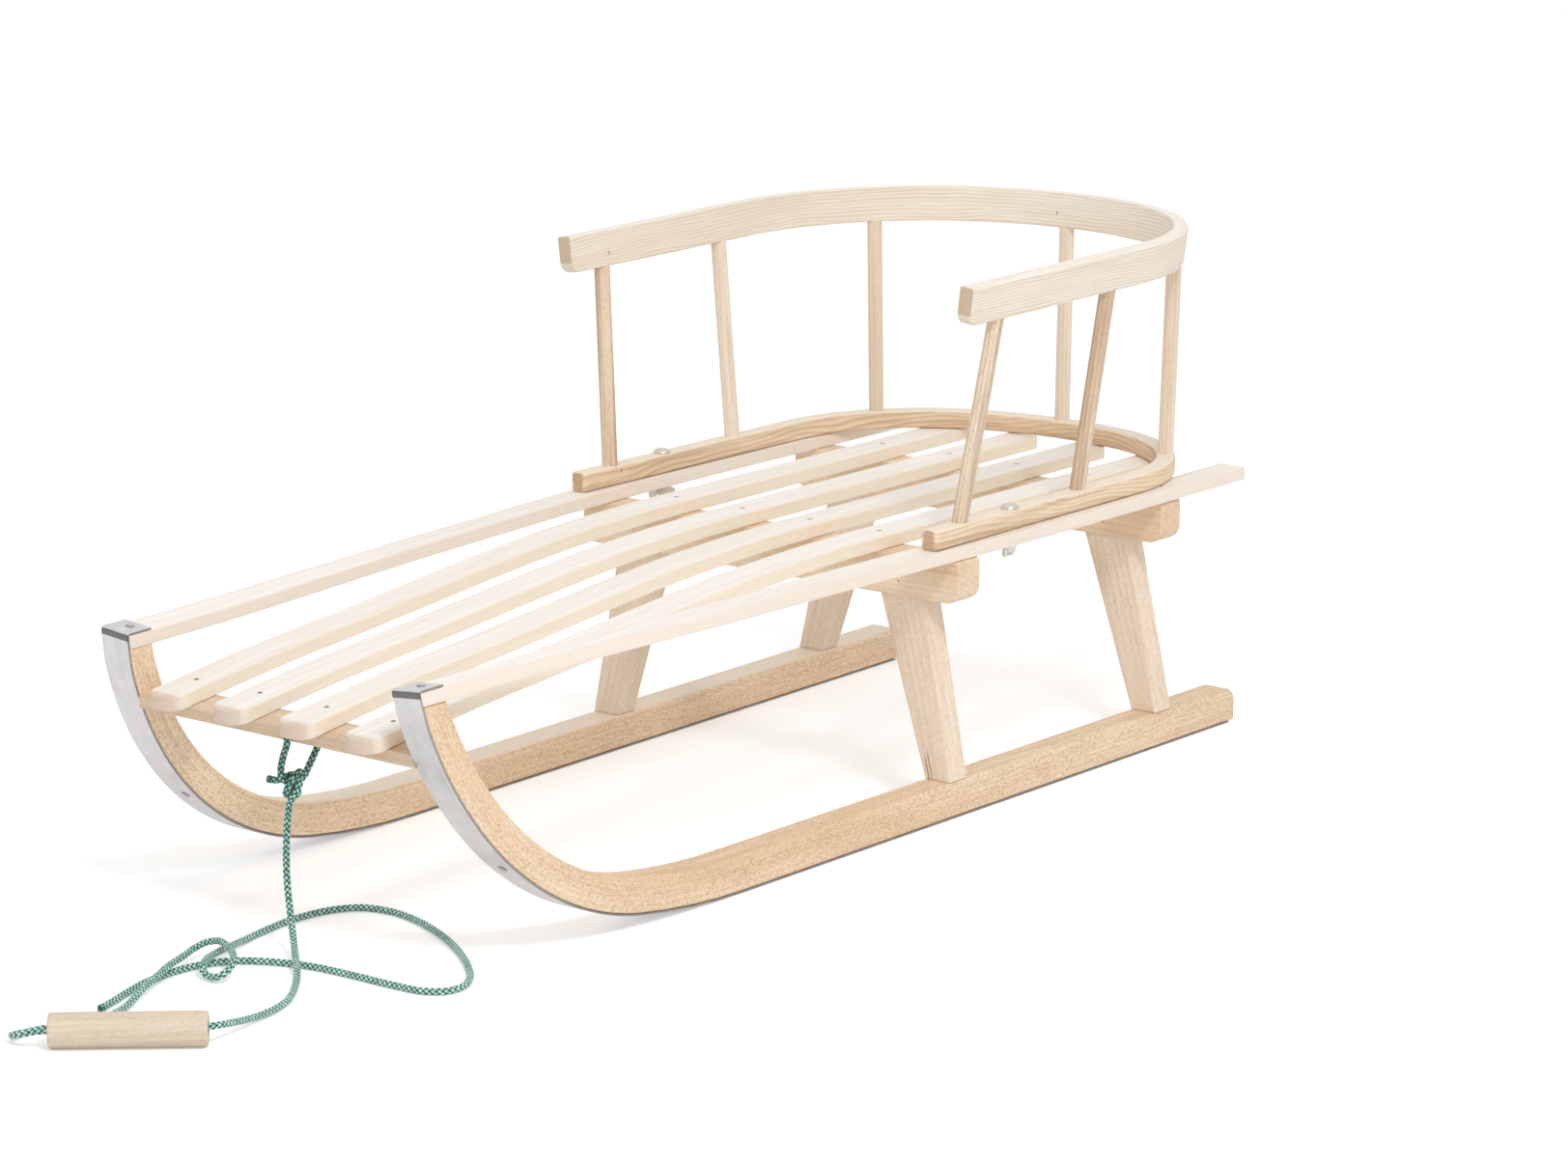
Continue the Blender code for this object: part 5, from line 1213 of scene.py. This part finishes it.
def outer_slat_rings():
    half = OUTER_SLAT_WIDTH / 2
    middle, across, up, along = outer_slat_frame(TIP_MIDDLE.y)
    shoe_face = TIP_POINT + TIP_INWARD * WOOD_BOTTOM
    rings = []
    for far, inset in easing(SLAT_EDGE, 3):
        cut = shoe_face + TIP_INWARD * far
        ring = []
        for u, v in shrunk(rounded(half, 0.0, SLAT_TOP, EDGES), inset):
            point = slid_onto(middle + across * u + up * v, along, cut, TIP_INWARD)
            ring.append((point, (point.y, u, v)))
        rings.append(ring)
    stops = [(y, 0.0) for y in (TIP_MIDDLE.y + RUNNER_TIP_HEIGHT, *SLAT_STOPS)] + rear_stops()
    for y, inset in stops:
        middle, across, up, _ = outer_slat_frame(y)
        outline = rounded(half - inset, 0.0, SLAT_TOP, EDGES)
        rings.append([(middle + across * u + up * v, (y, u, v)) for u, v in outline])
    return rings


beech_outer_slat = slat_finish("beech_outer_slat", (237, 222, 206), OUTER_SLAT_WIDTH / 2)
rings = outer_slat_rings()
fitted_pair(
    "slat_outer", rings, "sled", "beech_slat", (beech_outer_slat,) * 2,
    shift=OUTER_SLAT_SHIFT, spread=OUTER_SLAT_SPREAD, cuts=both_ends(rings),
)

# %% [markdown]
# ## Backrest
#
# Both hoops are steam-bent. The lower one is a small square strip that
# lies flat on the outer slats. The upper one is a wide, thin strip that
# leans outwards and ends in rounded lower corners. Seven round spindles
# join them.

# %% Lines of the hoops


class Hoop:
    """A bent strip: straight arms, two round corners and a flatter back."""

    END_STEPS, ARM_STEPS, TURN_STEPS, BACK_STEPS = 8, 6, 36, 8

    def __init__(self, half_width, back, front, corner_inset, crown_rise, section):
        self.half_width = half_width
        self.back = back
        self.front = front
        self.corner = half_width - corner_inset
        self.crown = self.corner + crown_rise
        self.swing = asin(corner_inset / crown_rise)
        self.corner_y = back - self.crown + crown_rise * cos(self.swing)
        self.thickness, self.height, self.rounding, self.edge = section

    def on_corner(self, angle):
        """Outer point and outward way, by the angle from straight back."""
        outward = Vector((sin(angle), cos(angle), 0.0))
        if abs(angle) < self.swing:
            return Vector((0.0, self.back - self.crown, 0.0)) + outward * self.crown, outward
        side = 1 if angle > 0 else -1
        centre = Vector((side * (self.half_width - self.corner), self.corner_y, 0.0))
        return centre + outward * self.corner, outward

    def on_arm(self, y):
        return Vector((self.half_width, y, 0.0)), ACROSS.copy()

    def stops(self):
        """Outer points round the hoop, the outward way and the inset of the rounded ends."""
        eased = easing(self.rounding, self.END_STEPS)
        right = [(*self.on_arm(self.front + far), inset) for far, inset in eased]
        arm = self.front + self.rounding
        run = (self.corner_y - arm) / self.ARM_STEPS
        right += [(*self.on_arm(arm + run * k), 0.0) for k in range(1, self.ARM_STEPS)]
        turn = (self.swing - pi / 2) / self.TURN_STEPS
        turns = [pi / 2 + turn * k for k in range(self.TURN_STEPS + 1)]
        right += [(*self.on_corner(turn), 0.0) for turn in turns]
        shares = [1 - k / self.BACK_STEPS for k in range(1, 2 * self.BACK_STEPS)]
        middle = [(*self.on_corner(self.swing * share), 0.0) for share in shares]
        mirror = Vector((-1.0, 1.0, 1.0))
        left = [(point * mirror, outward * mirror, inset) for point, outward, inset in right[::-1]]
        return right + middle + left

    def reach(self):
        """Length of the strip, along its outer face."""
        return line_length([point for point, _, _ in self.stops()])

    def rings(self, frame_at, low_corner):
        """Rings of the strip; the ends are rounded at the low corner or at both sides."""
        rings = []
        along = 0.0
        stops = self.stops()
        before = stops[0][0]
        for k, (point, outward, inset) in enumerate(stops):
            along += (point - before).length
            before = point
            base, face, tall = frame_at(point, outward)
            low, narrow = (inset, 0.0) if low_corner else (0.0, inset)
            outline = rounded(self.thickness / 2 - narrow, low, self.height, (self.edge,) * 4)
            if k in (0, len(stops) - 1):
                outline = shrunk(outline)
            middle = base - face * (self.thickness / 2)
            rings.append([(middle + face * u + tall * v, (along, u, v)) for u, v in outline])
        return rings


LOWER_SECTION = (0.015, 0.015, 0.003, 0.0026)
UPPER_SECTION = (0.012, 0.0285, 0.008, 0.0016)
LOWER_HOOP = Hoop(0.174, 0.939027, 0.522027, 0.029, 0.115, LOWER_SECTION)
UPPER_HOOP = Hoop(0.192, 0.940027, 0.534027, 0.012, 0.040, UPPER_SECTION)
LOWER_HOOP_UNDERSIDE = SLAT_UNDERSIDE + SLAT_THICKNESS + TOUCH_GAP
LOWER_HOOP_TOP = LOWER_HOOP_UNDERSIDE + LOWER_HOOP.height
UPPER_HOOP_LEAN = radians(7.0)
UPPER_HOOP_RISE = 0.006
UPPER_HOOP_UNDERSIDE = LOWER_HOOP_TOP + TOUCH_GAP + 0.1493


def lower_hoop_frame(point, outward):
    return point + UP * LOWER_HOOP_UNDERSIDE, outward, UP


def upper_hoop_frame(point, outward):
    """Low outer corner of the strip, the way out of its face and the way up it."""
    share = (point.y - UPPER_HOOP.front) / (UPPER_HOOP.back - UPPER_HOOP.front)
    base = point + UP * (UPPER_HOOP_UNDERSIDE + UPPER_HOOP_RISE * share)
    face = outward * cos(UPPER_HOOP_LEAN) - UP * sin(UPPER_HOOP_LEAN)
    tall = outward * sin(UPPER_HOOP_LEAN) + UP * cos(UPPER_HOOP_LEAN)
    return base, face, tall


# %% Wood of the hoops
LOWER_PIN = (0.0430, 0.0108)
UPPER_PIN = (0.0440, 0.0100)
BACK_PIN = (0.0069, 0.0115)
HOOP_PIN = (0.0008, 0.0010, 0.0022)
UPPER_HOOP_SHIFT = 2.0


def pins_near_ends(hoop, pin, shift=0.0):
    """A pin near both ends of a hoop's inner face."""
    distance, up = pin
    ends = (distance, hoop.reach() - distance)
    return [(along + shift, -hoop.thickness / 2, up) for along in ends]


def painted_top_light(hoop, depth, tone, share):
    """Paler top edge of a hoop, as painted light from above."""
    return [(UP, hoop.height - depth, hoop.height - 0.0004, shown(*tone), share)]


back_along = UPPER_HOOP.reach() / 2 + BACK_PIN[0] + UPPER_HOOP_SHIFT
back_pin = (back_along, -UPPER_HOOP.thickness / 2, BACK_PIN[1])
ash_lower_hoop = wood(
    "ash_lower_hoop",
    ((244, 222, 193), (231, 204, 170), (174, 133, 97)),
    rings=(0.0042, (0.050, 0.35, 1.0), (0.050, 5.0), 0.50),
    flecks=(0.16, 0.66),
    bands=0.46,
    skins=painted_top_light(LOWER_HOOP, 0.0022, (240, 229, 211), 0.8),
    marks=pins_near_ends(LOWER_HOOP, LOWER_PIN),
    reach=HOOP_PIN,
    cut=0.60,
)
ash_upper_hoop = wood(
    "ash_upper_hoop",
    ((241, 231, 217), (233, 219, 200), (186, 158, 128)),
    rings=(0.0028, (0.010, 0.30, 1.0), (0.016, 6.0), 0.40),
    flecks=(0.12, 0.68),
    bands=0.06,
    skins=painted_top_light(UPPER_HOOP, 0.0018, (246, 238, 227), 0.7),
    marks=[*pins_near_ends(UPPER_HOOP, UPPER_PIN, UPPER_HOOP_SHIFT), back_pin],
    reach=HOOP_PIN,
    cut=0.70,
)

# %% Bend the hoops
rings = LOWER_HOOP.rings(lower_hoop_frame, low_corner=False)
fitted("lower_hoop", rings, "backrest", "ash_lower_hoop", ash_lower_hoop, cuts=both_ends(rings))
rings = UPPER_HOOP.rings(upper_hoop_frame, low_corner=True)
fitted(
    "upper_hoop", rings, "backrest", "ash_upper_hoop", ash_upper_hoop,
    shift=UPPER_HOOP_SHIFT, cuts=both_ends(rings),
)
print("hoops:", len(rings), "rings each")

# %% Turn the spindles
SPINDLE_RADIUS = 0.006
SPINDLE_SINK, SPINDLE_SPARE = 0.001, 0.0025
SPINDLE_STEPS = 6
SPINDLE_SHIFT, SPINDLE_SPREAD = 0.45, 0.2
turned_spindle = wood(
    "turned_spindle",
    ((240, 226, 207), (229, 209, 184), (176, 142, 112)),
    rings=(0.0030, (0.004, 1.0, 0.4), (0.008, 3.0), 0.25),
    flecks=(0.16, 0.66),
    bands=0.12,
    cut=0.55,
)
streaked_spindle = wood(
    "streaked_spindle",
    ((238, 220, 196), (220, 192, 162), (150, 114, 84)),
    rings=(0.0034, (0.004, 1.0, 0.4), (0.010, 3.0), 0.35),
    flecks=(0.24, 0.64),
    bands=0.45,
    cut=0.55,
)


def turned(profile, base, axis, segments=28):
    """Rings round an axis: the profile gives each ring's radius and distance."""
    axis = axis.normalized()
    side = ACROSS if abs(axis.x) < 0.7 else UP
    first = (side - axis * side.dot(axis)).normalized()
    second = axis.cross(first)
    angles = [2 * pi * (k + 0.5) / segments for k in range(segments)]
    rings = []
    for radius, distance in profile:
        spots = [(radius * cos(angle), radius * sin(angle)) for angle in angles]
        middle = base + axis * distance
        rings.append([(middle + first * u + second * v, (distance, u, v)) for u, v in spots])
    return rings


def arm_ends(low, high):
    """Points on the arms of both hoops, by the distances from the lower hoop's front."""
    return LOWER_HOOP.on_arm(LOWER_HOOP.front + low), UPPER_HOOP.on_arm(LOWER_HOOP.front + high)


def corner_ends(low, high):
    """Points on the backs of both hoops, by the degrees from straight back."""
    return LOWER_HOOP.on_corner(radians(low)), UPPER_HOOP.on_corner(radians(high))


SPINDLES = {
    "spindle_back": (*corner_ends(0.0, 0.0), (turned_spindle,)),
    "spindle_front": (*arm_ends(0.038, 0.053), (streaked_spindle,) * 2),
    "spindle_middle": (*arm_ends(0.189, 0.196), (streaked_spindle, turned_spindle)),
    "spindle_corner": (*corner_ends(55.0, 50.0), (turned_spindle,) * 2),
}
for k, (name, (low, high, finishes)) in enumerate(SPINDLES.items()):
    foot = low[0] - low[1] * (LOWER_HOOP.thickness / 2) + UP * LOWER_HOOP_TOP
    base, face, tall = upper_hoop_frame(*high)
    axis = base - face * (UPPER_HOOP.thickness / 2) - foot
    step = (axis.length + SPINDLE_SPARE) / SPINDLE_STEPS
    profile = [(SPINDLE_RADIUS, step * j - SPINDLE_SINK) for j in range(SPINDLE_STEPS + 1)]
    rings = turned(profile, foot, axis)
    if name == "spindle_back":
        fitted(name, rings, "backrest", "turned_spindle", *finishes, shift=SPINDLE_SPREAD)
    else:
        shifts = {"shift": SPINDLE_SHIFT * k, "spread": SPINDLE_SPREAD}
        fitted_pair(name, rings, "backrest", "turned_spindle", finishes, **shifts)

# %% [markdown]
# ## Handle
#
# The handle is turned from beech, bored through, with softly rounded ends.
# It could be a plain cylinder, but the rope would then come out of solid
# wood.

# %% Turn the handle
HANDLE_RADIUS = 0.0114
HANDLE_BORE_RADIUS = 0.0048
HANDLE_ROUNDING = 0.0018
HANDLE_LENGTH = 0.100
HANDLE_HEADING = radians(220.75)
HANDLE_SHIFT = 1.1
BORE_EDGE = 0.0006
turned_handle = wood(
    "turned_handle",
    ((227, 214, 194), (219, 201, 178), (178, 140, 106)),
    rings=(0.0045, (0.010, 1.0, 0.5), (0.014, 3.0), 0.16),
    flecks=(0.22, 0.64),
    bands=0.10,
)
handle_end = Vector((0.1131, -0.1645, HANDLE_RADIUS))
handle_way = Vector((cos(HANDLE_HEADING), sin(HANDLE_HEADING), 0.0))
half = [(HANDLE_BORE_RADIUS, BORE_EDGE), (HANDLE_BORE_RADIUS + BORE_EDGE, 0.0)]
half += [(HANDLE_RADIUS - inset, far) for far, inset in easing(HANDLE_ROUNDING, 6)]
profile = half + [(radius, HANDLE_LENGTH - far) for radius, far in half[::-1]]
rings = turned(profile, handle_end, handle_way, 48)
piece = fitted(
    "pull_handle", rings, "handle", "turned_handle", turned_handle,
    joined=True, shift=HANDLE_SHIFT,
)
print(f"handle: {HANDLE_LENGTH * 1000:.0f} mm long")

# %% [markdown]
# ## Small metal parts
#
# Screws, nails, washers, bolts and wing nuts keep their CAD shapes. The
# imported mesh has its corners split, so a short chain of geometry nodes
# joins them again and shades them smooth except at sharp edges.

# %% Shade the small parts
CORNER_GAP = 0.00001
CRISP_ANGLE = radians(40)


def crisp_shading():
    """Nodes that join split corners and shade smooth, except at sharp edges."""
    group = bpy.data.node_groups.new("crisp", "GeometryNodeTree")
    for way in ("INPUT", "OUTPUT"):
        group.interface.new_socket("Geometry", in_out=way, socket_type="NodeSocketGeometry")
    smooth = "GeometryNodeSetShadeSmooth"
    kinds = ("NodeGroupInput", "GeometryNodeMergeByDistance", smooth, smooth, "NodeGroupOutput")
    chain = [group.nodes.new(kind) for kind in kinds]
    for before, after in zip(chain, chain[1:]):
        group.links.new(before.outputs[0], after.inputs[0])
    _, merge, _, sharpen, _ = chain
    merge.inputs["Distance"].default_value = CORNER_GAP
    sharpen.domain = "EDGE"
    sharpen.inputs["Shade Smooth"].default_value = False
    angle = group.nodes.new("GeometryNodeInputMeshEdgeAngle")
    compare = group.nodes.new("FunctionNodeCompare")
    compare.operation = "GREATER_THAN"
    compare.inputs[1].default_value = CRISP_ANGLE
    group.links.new(angle.outputs["Unsigned Angle"], compare.inputs[0])
    group.links.new(compare.outputs[0], sharpen.inputs["Selection"])
    return group


def metal_of(name):
    """Metal of a small part: rusty nails, pale screws, one dull and one bright nut."""
    if "slat" in name:
        return "nail_head" if "nail" in name else "screw_head"
    if "bolt" in name or "nut_right" in name:
        return "dull_bolt"
    return "bright_nut" if "nut_left" in name else "zinc_small"


crisp = crisp_shading()
small_parts = [name for name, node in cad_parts.items() if not node.hide_render]
for name in small_parts:
    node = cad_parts[name]
    node.data.materials.clear()
    node.data.materials.append(small_metals[metal_of(name)])
    node.modifiers.new("crisp", "NODES").node_group = crisp
print("small parts:", len(small_parts))

# %% [markdown]
# ## Floor and light
#
# The picture has a plain white ground. A large matt floor in near white
# keeps the sled's soft shadow. The light is a white sky all round and one
# soft lamp on the right, above the middle of the sky, so that tops are the
# lightest faces and the slats shade the ends of the bolsters.

# %% Floor and light
WHITE = (1.0, 1.0, 1.0, 1.0)
FLOOR_WHITE = (0.93, 0.93, 0.93, 1.0)
FLOOR_REACH = 40.0
FLOOR_GLOW = 0.26
SKY_STRENGTH = 0.80
LAMP_PLACE = Vector((1.82, -1.19, 2.48))
LAMP_AIM = Vector((0.0, 0.0, 0.1))
LAMP_WATTS = 32.0
LAMP_WIDTH = 0.7


def seen_directly(tree, *kinds):
    """Share of 1 for rays from the camera or of the named kinds, else 0."""
    path = tree.nodes.new("ShaderNodeLightPath")
    share = path.outputs["Is Camera Ray"]
    for kind in kinds:
        more = tree.nodes.new("ShaderNodeMath")
        more.operation = "MAXIMUM"
        tree.links.new(share, more.inputs[0])
        tree.links.new(path.outputs[kind], more.inputs[1])
        share = more.outputs[0]
    return share


corners = [(x * FLOOR_REACH, y * FLOOR_REACH, 0.0) for x, y in ((-1, -1), (1, -1), (1, 1), (-1, 1))]
floor_piece = added("floor", meshed("floor", corners, [(0, 1, 2, 3)]))
floor_finish = Finish("floor_white", 0.9)
floor_finish.shader.inputs["Specular IOR Level"].default_value = 0.1
floor_finish.colour(FLOOR_WHITE)
glow = floor_finish.sums("MULTIPLY", seen_directly(floor_finish.tree, "Is Glossy Ray"), FLOOR_GLOW)
floor_finish.shader.inputs["Emission Color"].default_value = WHITE
floor_finish.feed(floor_finish.shader.inputs["Emission Strength"], glow)
floor_piece.data.materials.append(floor_finish.material)

world = bpy.data.worlds.new("sky")
bpy.context.scene.world = world
world.use_nodes = True
sky = world.node_tree.nodes["Background"]
sky.inputs["Color"].default_value = WHITE
strength = world.node_tree.nodes.new("ShaderNodeMapRange")
strength.inputs["To Min"].default_value = SKY_STRENGTH
strength.inputs["To Max"].default_value = 1.0
shares = seen_directly(world.node_tree, "Is Glossy Ray", "Is Transmission Ray")
world.node_tree.links.new(shares, strength.inputs["Value"])
world.node_tree.links.new(strength.outputs[0], sky.inputs["Strength"])

lamp_data = bpy.data.lights.new("softbox", "AREA")
lamp_data.shape = "DISK"
lamp_data.size = LAMP_WIDTH
lamp_data.energy = LAMP_WATTS
lamp = added("softbox", lamp_data)
lamp.location = LAMP_PLACE
lamp.rotation_euler = (LAMP_AIM - LAMP_PLACE).to_track_quat("-Z", "Y").to_euler()
bpy.context.scene.view_settings.view_transform = "Standard"
print("lamp:", LAMP_WATTS, "W at", [round(part, 2) for part in LAMP_PLACE])
